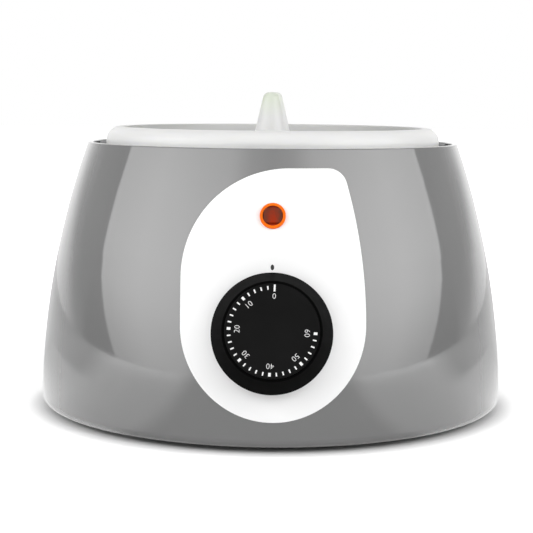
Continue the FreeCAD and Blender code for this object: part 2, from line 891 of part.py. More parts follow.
def base_screws():
    """Screws through the base plate into the casing's bosses."""
    bottom = size.plate_bottom - size.screw_head_height
    return screw_group("base_screws", boss_circle, size.boss_bearing, bottom, size.screw_head_radius,
                       size.screw_head_height, size.screw_radius, size.screw_length)


def rubber_feet():
    """Four tapered rubber feet with a recess for the screw's head."""
    body = new_body("rubber_feet")
    place = foot_circle
    hole = size.foot_screw_radius + size.hole_gap
    recess = size.foot_screw_head + size.hole_gap
    corners = [
        (place + recess, 0),
        (place + size.foot_radius - size.foot_draft, 0),
        (place + size.foot_radius, size.plate_bottom),
        (place + hole, size.plate_bottom),
        (place + hole, size.foot_recess),
        (place + recess, size.foot_recess),
    ]
    ring_of(body, [revolve(body, corners, axis_x=place)], 4)
    return body


def foot_screws():
    """Screws that hold the feet, in their recesses."""
    head_height = size.foot_recess * 0.8
    bottom = size.foot_recess - head_height
    length = size.plate_bottom - size.foot_recess + size.plate_thickness + size.foot_boss_height * 0.8
    return screw_group("foot_screws", foot_circle, 0, bottom, size.foot_screw_head, head_height,
                       size.foot_screw_radius, length)


def thermostat_plate():
    """The steel plate that clamps the thermostat to the pad, with tapped holes for the panel screws."""
    body = new_body("thermostat_plate", dial.out(body_face))
    sketch = rectangle(sketch_on(body), size.mount_plate_width, size.mount_plate_height)
    circle(sketch, 0, 0, size.bush_radius + size.hole_gap)
    for x in (-size.panel_screw_spacing / 2, size.panel_screw_spacing / 2):
        circle(sketch, x, 0, size.panel_screw_radius + size.thread_gap)
    pad(sketch, size.mount_plate_thickness)
    rounded(body, size.thermostat_round, [upright(size.mount_plate_thickness / 2)])
    return body


def thermostat_body():
    """The thermostat's moulded case, with its front bush and two rear tabs."""
    body = new_body("thermostat_body", dial)
    depth = size.thermostat_depth
    sketch = rectangle(sketch_on(body, height=thermostat_back), size.thermostat_width, size.thermostat_height)
    pad(sketch, depth)
    rounded(body, size.thermostat_round, [upright(depth / 2)])
    pad(circle(sketch_on(body, height=body_face), 0, 0, size.bush_radius), -body_face - size.casing_wall / 4)
    bore = circle(sketch_on(body), 0, 0, size.spindle_radius + size.turning_gap)
    pocket(bore, size.spindle_tail + size.turning_gap)
    for x in (-size.tab_spacing / 2, size.tab_spacing / 2):
        tab = rectangle(sketch_on(body, height=thermostat_back), size.tab_width, size.tab_thickness, x,
                        tab_place)
        pad(tab, size.tab_length, down=True)
    return body


def thermostat_capsule():
    """The diaphragm capsule at the back of the thermostat, with a side nipple for the capillary."""
    body = new_body("thermostat_capsule", dial)
    face = sketch_on(body, height=thermostat_back)
    pad(circle(face, 0, capsule_middle, size.capsule_radius), size.capsule_depth, down=True)
    side = thermostat_back - size.capsule_depth / 2
    reach = size.capsule_radius + size.capsule_nipple_length
    pad(circle(sketch_on(body, "YZ_Plane"), capsule_middle, side, size.capsule_nipple), reach)
    bore = circle(sketch_on(body, "YZ_Plane", height=reach), capsule_middle, side, size.capillary_radius)
    pocket(bore, size.capsule_nipple_length - size.casing_wall)
    return body


def thermostat_screws():
    """Two panel screws, hidden behind the knob's skirt."""
    body = new_body("thermostat_screws", dial)
    place = size.panel_screw_spacing / 2
    top = -size.panel_screw_seat
    head_top = top + size.screw_head_height
    tip = body_face
    corners = [
        (place, tip),
        (place + size.panel_screw_radius, tip),
        (place + size.panel_screw_radius, top),
        (place + size.panel_screw_head, top),
        (place + size.panel_screw_head, head_top),
        (place, head_top),
    ]
    ring_of(body, [revolve(body, corners, axis_x=place)], 2)
    return body


def thermostat_spindle():
    """The steel spindle that the knob turns, with a flat for the knob's bore."""
    body = new_body("thermostat_spindle", dial)
    pad(circle(sketch_on(body, height=-size.spindle_tail), 0, 0, size.spindle_radius),
        size.spindle_tail + size.spindle_reach)
    waste = sketch_on(body, height=size.spindle_reach)
    width = size.spindle_radius * 2
    rectangle(waste, width, width, size.spindle_flat + size.spindle_radius, 0)
    pocket(waste, size.spindle_reach - size.knob_back)
    rounded(body, size.spindle_radius / 8, [at_ring(size.spindle_radius, -size.spindle_tail)])
    return body


def control_knob():
    """The hollow knob: a thin skirt, a conical side, a raised face and a ribbed hub with a D-shaped bore."""
    body = new_body("control_knob", dial)
    wall = size.knob_wall
    skirt_top = size.knob_back + size.knob_skirt_height
    face_inside = size.knob_face_height - wall * 1.2
    corners = [
        (size.knob_skirt_radius - wall, size.knob_back),
        (size.knob_skirt_radius, size.knob_back),
        (size.knob_skirt_radius, skirt_top),
        (size.knob_ledge_radius, size.knob_ledge_height),
        (size.knob_face_radius, size.knob_ledge_height),
        (size.knob_face_radius, size.knob_face_height),
        (0, size.knob_face_height),
        (0, size.knob_hub_back),
        (size.knob_hub_radius, size.knob_hub_back),
        (size.knob_hub_radius, face_inside),
        (size.knob_ledge_radius - wall, face_inside),
        (size.knob_skirt_radius - wall, skirt_top),
    ]
    revolve(body, corners)
    rib = sketch_on(body, "XZ_Plane")
    rib_back = size.knob_hub_back + size.clip_start + size.clip_width + 1
    rib_reach = size.knob_ledge_radius - wall / 2
    outline(rib, [
        (size.knob_hub_radius - 1, rib_back),
        (rib_reach, rib_back),
        (rib_reach, face_inside + wall / 2),
        (size.knob_hub_radius - 1, face_inside + wall / 2),
    ])
    ring_of(body, [pad(rib, size.knob_rib, midplane=True)], 6)
    bore = sketch_on(body, height=size.knob_hub_back)
    gap = size.turning_gap
    radius = size.spindle_radius + gap
    flat = size.spindle_flat + gap
    half = root(radius * radius - flat * flat)
    outline(bore, [(flat, half, radius), (0, radius, radius), (-radius, 0, radius), (0, -radius, radius),
                   (flat, -half)])
    pocket(bore, size.knob_bore_depth, up=True)
    rounded(body, size.knob_wall / 4, [
        at_ring(size.knob_face_radius, size.knob_face_height),
        at_ring(size.knob_skirt_radius, skirt_top),
    ])
    rounded(body, size.knob_wall / 5, [
        at_ring(size.knob_ledge_radius, size.knob_ledge_height),
        at_ring(size.knob_skirt_radius, size.knob_back),
    ])
    return body


def knob_clip():
    """The open spring band that grips the knob's hub."""
    body = new_body("knob_clip", dial)
    inner = size.knob_hub_radius + size.thread_gap / 2
    outer = inner + size.clip_thickness
    start = size.knob_hub_back + size.clip_start
    end = start + size.clip_width
    corners = [(inner, start), (outer, start), (outer, end), (inner, end)]
    revolve(body, corners, angle=315, midplane=True)
    return body


def pilot_lamp_bezel():
    """The orange collar round the lamp's window, with a sleeve through the casing's wall."""
    body = new_body("pilot_lamp_bezel", lamp)
    bore = size.lamp_core_radius + size.lamp_fit / 2
    top = size.lamp_seat + size.lamp_flange_height
    corners = [
        (bore, -size.lamp_sleeve_depth),
        (size.lamp_sleeve_radius, -size.lamp_sleeve_depth),
        (size.lamp_sleeve_radius, size.lamp_seat),
        (size.lamp_flange_radius, size.lamp_seat),
        (size.lamp_flange_radius, top),
        (bore, top),
    ]
    revolve(body, corners)
    rounded(body, size.lamp_flange_height / 3, [at_ring(size.lamp_flange_radius, top)])
    return body


def pilot_lamp_core():
    """The dark red lamp body, with a domed window that has two flattened sides."""
    body = new_body("pilot_lamp_core", lamp)
    top = size.lamp_seat + size.lamp_flange_height
    radius = size.lamp_core_radius
    pad(circle(sketch_on(body, height=-size.lamp_core_depth), 0, 0, radius),
        size.lamp_core_depth + top + size.lamp_dome)
    step = sketch_on(body, height=top - size.lamp_flange_height / 2)
    circle(step, 0, 0, radius * 1.2)
    rectangle(step, size.lamp_window_width, radius * 1.5)
    pocket(step, size.lamp_flange_height, up=True)
    rounded(body, size.lamp_dome / 2, [at_height(top + size.lamp_dome)])
    for x in (-radius / 2, radius / 2):
        end = sketch_on(body, height=-size.lamp_core_depth)
        pad(rectangle(end, size.tab_thickness, size.tab_width / 2, x, 0), size.lamp_tab_length, down=True)
    return body


def pilot_lamp_clip():
    """The push-on washer that holds the lamp's sleeve behind the wall."""
    body = new_body("pilot_lamp_clip", lamp)
    face = sketch_on(body, height=-size.casing_wall - size.lamp_clip_thickness * 2)
    circle(face, 0, 0, size.lamp_clip_radius)
    circle(face, 0, 0, size.lamp_sleeve_radius + size.thread_gap)
    pad(face, size.lamp_clip_thickness)
    return body


def heating_well():
    """The pressed aluminium well, with welded studs under its flange and its floor."""
    body = new_body("heating_well")
    wall = size.well_wall
    corners = [
        (0, well_underside),
        (well_floor_radius + wall, well_underside),
        (well_mouth_radius + wall, flange_bottom),
        (well_flange_radius, flange_bottom),
        (well_flange_radius, flange_top),
        (well_mouth_radius, flange_top),
        (well_floor_radius, size.well_floor),
        (0, size.well_floor),
    ]
    revolve(body, corners)
    rounded(body, size.well_round + wall, [at_ring(well_floor_radius + wall, well_underside)])
    rounded(body, size.well_round, [at_ring(well_floor_radius, size.well_floor)])
    across = stud_circle * cosine(size.boss_bearing)
    along = stud_circle * sine(size.boss_bearing)
    stud = circle(sketch_on(body, height=flange_bottom), across, along, size.well_stud_radius)
    ring_of(body, [pad(stud, size.well_stud_length, down=True)], 4)
    centre = circle(sketch_on(body, height=well_underside), 0, 0, size.heater_stud_radius)
    pad(centre, size.heater_stud_length, down=True)
    for y in (-size.cutout_lug_spacing / 2, size.cutout_lug_spacing / 2):
        lug = sketch_on(body, height=well_underside)
        circle(lug, -cutout_place, y, size.cutout_stud_radius)
        pad(lug, size.cutout_cap_height + size.cutout_nut_height * 2, down=True)
    return body


def well_gasket():
    """The flat seal between the well's flange and the ledge."""
    body = new_body("well_gasket")
    face = sketch_on(body, height=ledge_top)
    circle(face, 0, 0, well_flange_radius - size.gasket_inset)
    circle(face, 0, 0, ledge_radius)
    pad(face, size.gasket_thickness)
    across = stud_circle * cosine(size.boss_bearing)
    along = stud_circle * sine(size.boss_bearing)
    radius = size.well_stud_radius + size.hole_gap
    hole = circle(sketch_on(body, height=ledge_top), across, along, radius)
    ring_of(body, [pocket(hole, size.gasket_thickness, up=True)], 4)
    return body


def nut(body, sketch_height, across_flats, height, bore, x=0, y=0):
    sketch = hexagon(sketch_on(body, height=sketch_height), across_flats, x, y)
    circle(sketch, x, y, bore)
    return pad(sketch, height, down=True)


def well_nuts():
    """Four nuts under the ledge."""
    body = new_body("well_nuts")
    across = stud_circle * cosine(size.boss_bearing)
    along = stud_circle * sine(size.boss_bearing)
    bore = size.well_stud_radius + size.thread_gap
    first = nut(body, ledge_bottom, size.well_nut_width, size.well_nut_height, bore, across, along)
    ring_of(body, [first], 4)
    return body


def heater_mat():
    """The round heating element against the well's floor, with a tail that takes the leads."""
    body = new_body("heater_mat")
    face = sketch_on(body, height=mat_bottom)
    circle(face, 0, 0, heater_radius)
    pad(face, size.heater_thickness)
    tail = sketch_on(body, height=mat_bottom)
    rectangle(tail, size.heater_tail * 2, size.heater_tail_width, heater_radius, 0)
    pad(tail, size.heater_thickness)
    bore = circle(sketch_on(body, height=mat_bottom), 0, 0, size.heater_stud_radius + size.hole_gap)
    pocket(bore, size.heater_thickness, up=True)
    return body


def insulation_disc():
    """The pad of insulation pressed against the heater."""
    body = new_body("insulation_disc")
    face = sketch_on(body, height=insulation_bottom)
    circle(face, 0, 0, insulation_radius)
    circle(face, 0, 0, size.heater_stud_radius + size.hole_gap)
    pad(face, size.insulation_thickness)
    return body


def heater_clamp_plate():
    """The dished steel plate that presses the insulation and the heater up."""
    body = new_body("heater_clamp_plate")
    bore = size.heater_stud_radius + size.hole_gap
    rim = clamp_radius + size.clamp_thickness
    corners = [
        (bore, clamp_bottom),
        (rim - size.clamp_thickness, clamp_bottom),
        (rim - size.clamp_thickness, clamp_bottom - size.clamp_rim),
        (rim, clamp_bottom - size.clamp_rim),
        (rim, insulation_bottom),
        (bore, insulation_bottom),
    ]
    revolve(body, corners)
    return body


def heater_clamp_nut():
    """The nut on the centre stud."""
    body = new_body("heater_clamp_nut")
    nut(body, clamp_bottom, size.heater_nut_width, size.heater_nut_height,
        size.heater_stud_radius + size.thread_gap)
    return body


def insulation_wrap():
    """The blanket round the well's wall, open at the front for the sensing bulb."""
    body = new_body("insulation_wrap")
    low = well_outside(size.wrap_bottom) + size.wrap_gap
    high = well_outside(wrap_top) + size.wrap_gap
    corners = [
        (low, size.wrap_bottom),
        (low + size.wrap_thickness, size.wrap_bottom),
        (high + size.wrap_thickness, wrap_top),
        (high, wrap_top),
    ]
    revolve(body, corners, bearing=rear_bearing, angle=size.wrap_angle, midplane=True)
    return body


def thermal_cutout():
    """The safety cut-out under the well's floor: a cap, a body and two mounting lugs."""
    body = new_body("thermal_cutout")
    place = -cutout_place
    bottom = well_underside - size.cutout_height
    pad(circle(sketch_on(body, height=bottom), place, 0, size.cutout_radius), size.cutout_height)
    flange = sketch_on(body, height=well_underside - size.cutout_cap_height)
    half = size.cutout_lug_spacing / 2
    slot(flange, size.cutout_radius * 0.8, size.cutout_lug_spacing + size.cutout_radius * 0.8, place, 0)
    pad(flange, size.tab_thickness)
    for y in (-half, half):
        hole = sketch_on(body, height=well_underside - size.cutout_cap_height)
        radius = size.cutout_stud_radius + size.hole_gap
        pocket(circle(hole, place, y, radius), size.tab_thickness, up=True)
    for y in (-size.cutout_radius / 2, size.cutout_radius / 2):
        tab = rectangle(sketch_on(body, height=bottom), size.tab_width, size.tab_thickness, place, y)
        pad(tab, size.tab_length, down=True)
    return body


def cutout_nuts():
    """Two nuts that hold the cut-out's lugs."""
    body = new_body("cutout_nuts")
    top = well_underside - size.cutout_cap_height
    for y in (-size.cutout_lug_spacing / 2, size.cutout_lug_spacing / 2):
        nut(body, top, size.cutout_nut_width, size.cutout_nut_height,
            size.cutout_stud_radius + size.thread_gap, -cutout_place, y)
    return body


def sensing_bulb():
    """The thermostat's liquid-filled bulb, lying along the well's wall."""
    body = new_body("sensing_bulb", bulb)
    radius = size.bulb_radius
    neck = size.bulb_neck_radius
    corners = [
        (0, -size.bulb_neck_length),
        (neck, -size.bulb_neck_length),
        (neck, 0),
        (radius, radius - neck),
        (radius, size.bulb_length),
        (0, size.bulb_length),
    ]
    revolve(body, corners)
    rounded(body, radius / 2, [at_ring(radius, size.bulb_length)])
    bore = circle(sketch_on(body, height=-size.bulb_neck_length), 0, 0, size.capillary_radius)
    pocket(bore, size.bulb_neck_length, up=True)
    return body


def bulb_clip():
    """The strap that holds the bulb to the well, with an ear at each side."""
    body = new_body("bulb_clip", bulb.out(size.strap_place))
    inner = size.bulb_radius + size.seat_gap
    outer = inner + size.strap_thickness
    reach = outer + size.strap_ear
    back = size.bulb_radius
    front = back - size.strap_thickness
    sketch = outline(sketch_on(body), [
        (outer, 0),
        (outer, front),
        (reach, front),
        (reach, back),
        (inner, back),
        (inner, 0, -inner),
        (0, -inner, -inner),
        (-inner, 0),
        (-inner, back),
        (-reach, back),
        (-reach, front),
        (-outer, front),
        (-outer, 0, outer),
        (0, -outer, outer),
    ])
    pad(sketch, size.strap_width)
    return body


def cable_gland():
    """The supply inlet's body: a tail through the casing, a hexagon and a stub that holds the seal."""
    body = new_body("cable_gland", gland)
    hex_end = size.gland_hex_length
    pad(hexagon(sketch_on(body), size.gland_hex), hex_end)
    pad(circle(sketch_on(body), 0, 0, size.gland_thread_radius), size.gland_thread_length, down=True)
    pad(circle(sketch_on(body, height=hex_end), 0, 0, size.gland_stub_radius), size.gland_seal_length)
    start = -size.gland_thread_length
    stub_end = hex_end + size.gland_seal_length
    core = [
        (0, start - 1),
        (size.gland_bore_radius, start - 1),
        (size.gland_bore_radius, hex_end),
        (size.gland_seal_radius, hex_end),
        (size.gland_seal_radius, stub_end + 1),
        (0, stub_end + 1),
    ]
    revolve(body, core, cut=True)
    return body


def gland_nut():
    """The domed nut on the gland's stub. Its mouth is the bore that a cord leaves by."""
    body = new_body("gland_nut", gland.out(size.gland_hex_length))
    end = size.gland_nut_length
    pad(hexagon(sketch_on(body), size.gland_nut_hex), size.gland_nut_hex_length)
    pad(circle(sketch_on(body), 0, 0, size.gland_dome_radius), end)
    rounded(body, size.gland_dome_round, [at_ring(size.gland_dome_radius, end)])
    socket = size.gland_stub_radius + size.thread_gap
    core = [
        (0, -1),
        (socket, -1),
        (socket, size.gland_seal_length),
        (size.cord_bore_radius, size.gland_seal_length),
        (size.cord_bore_radius, end + 1),
        (0, end + 1),
    ]
    revolve(body, core, cut=True)
    return body


def gland_seal():
    """The rubber sleeve that grips a cord inside the gland."""
    body = new_body("gland_seal", gland.out(size.gland_hex_length))
    face = sketch_on(body)
    circle(face, 0, 0, size.gland_seal_radius)
    circle(face, 0, 0, size.gland_seal_bore)
    pad(face, size.gland_seal_length)
    return body


def gland_locknut():
    """The hexagonal nut inside the casing."""
    body = new_body("gland_locknut", gland.out(-size.gland_pad_length))
    nut(body, Dim.of(0), size.locknut_width, size.locknut_length, size.gland_thread_radius + size.thread_gap)
    return body


def terminal_block():
    """The three-way terminal block on the base plate, with wire bores and screw wells."""
    body = new_body("terminal_block")
    block = rectangle(sketch_on(body, height=plate_top), size.block_width, size.block_depth, 0,
                      block_place)
    pad(block, size.block_height)
    gap = size.block_pitch / 8
    middle = size.block_pitch / 2
    for x in (-middle, middle):
        groove = sketch_on(body, height=plate_top + size.block_height)
        rectangle(groove, gap, size.block_depth * 1.1, x, block_place)
        pocket(groove, size.block_height / 3)
    for x in (-size.block_pitch, Dim.of(0), size.block_pitch):
        wire = sketch_on(body, "XZ_Plane")
        circle(wire, x, wire_height, size.block_bore)
        pocket(wire, block_place * 3, midplane=True)
        well = sketch_on(body, height=plate_top + size.block_height)
        circle(well, x, block_place, size.block_screw_radius + size.thread_gap)
        pocket(well, size.block_height / 2)
    return body


def terminal_screws():
    """The three clamping screws of the terminal block."""
    body = new_body("terminal_screws")
    top = plate_top + size.block_height - size.block_screw_sink
    for x in (-size.block_pitch, Dim.of(0), size.block_pitch):
        face = circle(sketch_on(body, height=top), x, block_place, size.block_screw_radius)
        pad(face, size.block_screw_length, down=True)
    return body


def routed_tube(name, places, radius):
    """A tube along straight runs joined by tangent arcs, each arc as large as its two runs allow."""
    points = [V(place) for place in places]
    bends = []
    for before, corner, after in zip(points, points[1:], points[2:]):
        back = before - corner
        ahead = after - corner
        half_turn = (math.pi - back.getAngle(ahead)) / 2
        trim = 0.45 * min(back.Length, ahead.Length)
        start = corner + back.normalize() * trim
        finish = corner + ahead.normalize() * trim
        bend_radius = trim / math.tan(half_turn)
        towards = (back + ahead).normalize()
        middle = corner + towards * (bend_radius / math.cos(half_turn) - bend_radius)
        bends.append((start, middle, finish, bend_radius))
    edges = []
    reached = points[0]
    for start, middle, finish, _ in bends:
        edges.append(Part.LineSegment(reached, start).toShape())
        edges.append(Part.Arc(start, middle, finish).toShape())
        reached = finish
    edges.append(Part.LineSegment(reached, points[-1]).toShape())
    path = Part.Wire(edges)
    section = Part.Wire([Part.Circle(points[0], points[1] - points[0], radius.value).toShape()])
    tube = path.makePipeShell([section], True, False)
    expected = math.pi * radius.value**2 * path.Length
    if abs(tube.Volume - expected) > expected * 0.01:
        raise RuntimeError(f"{name} doesn't have the volume of its section along its path")
    print(f"{name}: bend radii {', '.join(f'{bend[3]:.1f}' for bend in bends)}")
    feature = doc.addObject("Part::Feature", name)
    feature.Label = name
    feature.Shape = tube
    return feature


def capillary_tube():
    """The thin copper tube from the thermostat's capsule round to the foot of the bulb."""
    reach = (size.capsule_radius + size.casing_wall).value
    side = (thermostat_back - size.capsule_depth / 2).value
    start = dial.point(reach, capsule_middle.value, side)
    neck = bulb.point(0, 0, -size.bulb_neck_length.value / 2)
    low = size.capillary_drop.value
    out = size.capillary_reach.value
    sway = size.capillary_sway.value
    return routed_tube("capillary_tube", [
        start,
        V(out, start.y, start.z),
        V(out + sway * 2, neck.y - sway, (start.z + low) / 2 + sway),
        V(out - sway * 4, neck.y - sway * 1.5, low - sway / 2),
        V(neck.x, neck.y + (neck.z - low) * well_slope.value, low),
        neck,
    ], size.capillary_radius)


def lead_places():
    """Where the leads end and the point they pass before it: tabs, tail, terminal block and stud."""
    tab_end = (thermostat_back - size.tab_length).value
    beyond = tab_end - size.lead_approach.value
    half = size.tab_spacing.value / 2
    beside = half + size.lead_radius.value + size.lamp_lead_radius.value + size.thread_gap.value
    tab = tab_place.value
    mouth = (block_place - size.block_depth / 2).value
    pitch = size.block_pitch.value
    level = wire_height.value
    inside = mouth + size.lead_entry.value
    before = mouth - size.lead_approach.value
    tail = (heater_radius + size.heater_tail * 0.65).value
    step = size.heater_terminal_pitch.value
    mat = mat_bottom.value
    under = mat - size.lead_approach.value
    cutout = (-cutout_place).value
    cutout_tab = (well_underside - size.cutout_height - size.tab_length).value
    lead_in = size.cutout_radius.value / 2
    stud = stud_circle.value * math.cos(math.radians(size.boss_bearing.value))
    stud_end = (flange_bottom - size.well_stud_length).value
    lamp_end = (-size.lamp_core_depth - size.lamp_tab_length).value
    lamp_side = size.lamp_core_radius.value / 2
    lamp_way = lamp_end - size.lamp_lead_drop.value
    stud_way = stud_end - size.stud_lead_drop.value
    cutout_way = cutout_tab - size.cutout_lead_drop.value
    return {
        "live_tab": [dial.point(-half, tab, tab_end), dial.point(-half, tab, beyond)],
        "switched_tab": [dial.point(half, tab, tab_end), dial.point(half, tab, beyond)],
        "lamp_tab": [dial.point(beside, tab, tab_end), dial.point(beside, tab, beyond)],
        "block_live": [V(-pitch, inside, level), V(-pitch, before, level)],
        "block_earth": [V(0, inside, level), V(0, before, level)],
        "block_neutral": [V(pitch, inside, level), V(pitch, before, level)],
        "cutout_in": [V(cutout, -lead_in, cutout_tab), V(cutout, -lead_in, cutout_way)],
        "cutout_out": [V(cutout, lead_in, cutout_tab), V(cutout, lead_in, cutout_way)],
        "tail_live": [V(tail, step, mat), V(tail, step, under)],
        "tail_neutral": [V(tail, 0, mat), V(tail, 0, under)],
        "tail_lamp": [V(tail, -step, mat), V(tail, -step, under + size.tail_lead_step.value)],
        "stud": [V(stud, stud, stud_end), V(stud, stud, stud_way)],
        "lamp_left": [lamp.point(-lamp_side, 0, lamp_end), lamp.point(-lamp_side, 0, lamp_way)],
        "lamp_right": [lamp.point(lamp_side, 0, lamp_end), lamp.point(lamp_side, 0, lamp_way)],
    }


def leads():
    """The casing's internal leads. Way points are in thousandths of its radius and its rim's height."""
    place = lead_places()
    across = size.casing_radius.value / 1000
    up = size.casing_rim.value / 1000
    thick = size.lead_radius
    thin = size.lamp_lead_radius
    routes = {
        "live_lead": ("live_tab", "block_live", thick, [
            (-108, -449, 183), (-158, -250, 132), (-175, 17, 103), (-142, 266, 95)]),
        "switched_lead": ("switched_tab", "cutout_in", thick, [
            (17, -499, 168), (-133, -449, 117), (-316, -316, 95), (-433, -150, 88)]),
        "heater_lead": ("cutout_out", "tail_live", thick, [
            (-416, 142, 110), (-266, 191, 147), (-50, 150, 161), (166, 108, 161), (333, 58, 154)]),
        "neutral_lead": ("tail_neutral", "block_neutral", thick, [
            (391, 42, 103), (300, 166, 88), (166, 300, 88)]),
        "earth_lead": ("block_earth", "stud", thick, [
            (83, 366, 132), (266, 383, 198), (449, 449, 278), (549, 549, 440), (533, 558, 615)]),
        "lamp_live_lead": ("lamp_right", "lamp_tab", thin, [
            (100, -716, 630), (225, -716, 498), (266, -658, 337), (200, -549, 234)]),
        "lamp_neutral_lead": ("lamp_left", "tail_lamp", thin, [
            (42, -749, 645), (200, -757, 557), (316, -683, 410), (383, -549, 249), (441, -300, 161)]),
    }
    tubes = []
    for name, (start, finish, radius, way) in routes.items():
        between = [V(x * across, y * across, z * up) for x, y, z in way]
        points = place[start] + between + place[finish][::-1]
        tubes.append(routed_tube(name, points, radius))
    return tubes


def bowl():
    """The deep-drawn steel bowl, hanging in the well by its rim."""
    body = new_body("bowl")
    wall = size.bowl_wall
    corners = [
        (0, bowl_bottom),
        (bowl_foot_radius, bowl_bottom),
        (bowl_mouth_radius, flange_top),
        (bowl_rim_radius, flange_top),
        (bowl_rim_radius, bowl_rim_top),
        (bowl_mouth_radius - wall, bowl_rim_top),
        (bowl_foot_radius - wall, bowl_floor),
        (0, bowl_floor),
    ]
    revolve(body, corners)
    rounded(body, size.bowl_round, [at_ring(bowl_foot_radius, bowl_bottom)])
    rounded(body, size.bowl_round - wall, [at_ring(bowl_foot_radius - wall, bowl_floor)])
    rounded(body, wall, [at_ring(bowl_mouth_radius - wall, bowl_rim_top)])
    rounded(body, wall / 3, [
        at_ring(bowl_rim_radius, flange_top),
        at_ring(bowl_rim_radius, bowl_rim_top),
    ])
    return body


def lid():
    """The moulded lid: a rolled rim, a sunken plate, a locating ring below and a hollow grip."""
    body = new_body("lid")
    body.Placement = FreeCAD.Placement(V(0, 0, 0), FreeCAD.Rotation(V(0, 0, -1), size.lid_yaw.value))
    bind(body, "Placement.Rotation.Angle", size.lid_yaw)
    wall = size.lid_wall
    plate_bottom = lid_plate_top - size.lid_plate_thickness
    spigot = bowl_mouth_radius - size.bowl_wall - size.lid_spigot_gap
    spigot_bottom = plate_bottom - size.lid_spigot_depth
    crest = lid_radius - size.lid_crest_round
    shoulder = lid_crest - size.lid_crest_round
    inner_round = size.lid_crest_round - wall
    seat = lid_inner_radius + wall
    skirt_bottom = flange_top + size.lid_skirt_gap
    corners = [
        (0, plate_bottom),
        (spigot - size.lid_spigot_wall, plate_bottom),
        (spigot - size.lid_spigot_wall, spigot_bottom),
        (spigot, spigot_bottom),
        (spigot, plate_bottom),
        (lid_inner_radius, plate_bottom),
        (lid_inner_radius, bowl_rim_top),
        (seat, bowl_rim_top),
        (seat, lid_crest - wall),
        (crest, lid_crest - wall, -inner_round),
        (lid_radius - wall, shoulder),
        (lid_radius - wall, skirt_bottom),
        (lid_radius, skirt_bottom),
        (lid_radius, shoulder, size.lid_crest_round),
        (crest, lid_crest),
        (lid_inner_radius, lid_crest),
        (lid_inner_radius, lid_plate_top),
        (0, lid_plate_top),
    ]
    revolve(body, corners)
    rounded(body, wall / 5, [at_ring(lid_inner_radius, lid_crest)])
    # The grip narrows upwards on all sides by its draft, outside and inside.
    slope = sine(size.grip_draft) / cosine(size.grip_draft)
    rise = grip_top - lid_plate_top
    taken = rise * slope * 2
    foot = slot(sketch_on(body, height=lid_plate_top), size.grip_width, size.grip_length)
    top = slot(sketch_on(body, height=grip_top), size.grip_width - taken, size.grip_length - taken)
    loft(body, [foot, top])
    rounded(body, size.grip_round, [at_height(grip_top)])
    thin = wall * 2
    hollow_top = grip_top - wall * 1.5
    hollow_taken = (hollow_top - lid_plate_top) * slope * 2
    foot = sketch_on(body, height=plate_bottom - 1)
    spread = (size.lid_plate_thickness + 1) * slope * 2
    slot(foot, size.grip_width - thin + spread, size.grip_length - thin + spread)
    top = sketch_on(body, height=hollow_top)
    slot(top, size.grip_width - thin - hollow_taken, size.grip_length - thin - hollow_taken)
    loft(body, [foot, top], cut=True)
    return body


PIECES = [
    casing, front_label, base_plate, base_screws, rubber_feet, foot_screws,
    thermostat_plate, thermostat_body, thermostat_capsule, thermostat_screws, sensing_bulb, bulb_clip,
    thermostat_spindle, control_knob, knob_clip,
    pilot_lamp_bezel, pilot_lamp_core, pilot_lamp_clip,
    heating_well, well_gasket, well_nuts, heater_mat, insulation_disc, heater_clamp_plate,
    heater_clamp_nut, insulation_wrap, thermal_cutout, cutout_nuts,
    cable_gland, gland_nut, gland_seal, gland_locknut, terminal_block, terminal_screws,
    capillary_tube, bowl, lid,
]


def check_and_export(nodes):
    """Stop on a failed feature or an unsound solid, then write each piece to its own file."""
    doc.recompute()
    for item in doc.Objects:
        if "Invalid" in item.State or "Error" in item.State:
            raise RuntimeError(f"{item.Name} failed: {item.State}")
    for node in nodes:
        if node.Shape.isNull() or not node.Shape.isValid() or not node.Shape.Solids:
            raise RuntimeError(f"{node.Label} has no sound solid")
    os.makedirs("parts", exist_ok=True)
    for node in nodes:
        node.Shape.exportStep(os.path.join("parts", f"{node.Label}.step"))
        print(f"{node.Label}: {len(node.Shape.Solids)} solid(s), {node.Shape.Volume / 1000:.2f} cm3")


check_and_export([piece() for piece in PIECES] + leads())
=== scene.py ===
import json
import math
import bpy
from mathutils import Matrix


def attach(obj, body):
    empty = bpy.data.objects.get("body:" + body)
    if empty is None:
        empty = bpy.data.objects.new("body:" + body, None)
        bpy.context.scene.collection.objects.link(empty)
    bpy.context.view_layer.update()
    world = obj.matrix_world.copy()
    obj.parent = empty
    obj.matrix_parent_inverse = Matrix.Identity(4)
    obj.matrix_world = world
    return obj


bl_info = {
    "name": "Chocolate melter",
    "version": (1, 0, 0),
    "blender": (4, 5, 0),
    "location": "View3D > Sidebar > Melter",
    "description": "Finishes, dial print and studio for a round table-top chocolate melter",
    "category": "Object",
}

import bmesh
import bpy
from bpy.props import FloatProperty, FloatVectorProperty, IntProperty, PointerProperty
from bpy.types import Operator, Panel, PropertyGroup
from mathutils import Matrix, Vector
from mathutils.bvhtree import BVHTree

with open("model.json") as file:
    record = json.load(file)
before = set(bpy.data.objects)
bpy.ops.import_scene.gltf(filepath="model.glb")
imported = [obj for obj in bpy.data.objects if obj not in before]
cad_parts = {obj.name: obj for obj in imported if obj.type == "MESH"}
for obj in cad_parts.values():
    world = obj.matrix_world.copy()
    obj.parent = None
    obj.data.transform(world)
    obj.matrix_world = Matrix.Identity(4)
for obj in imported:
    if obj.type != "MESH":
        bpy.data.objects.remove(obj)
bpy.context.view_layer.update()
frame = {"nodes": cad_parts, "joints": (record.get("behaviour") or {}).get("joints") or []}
MM = 0.001
BLACK = (0.0, 0.0, 0.0)
WHITE = (1.0, 1.0, 1.0)

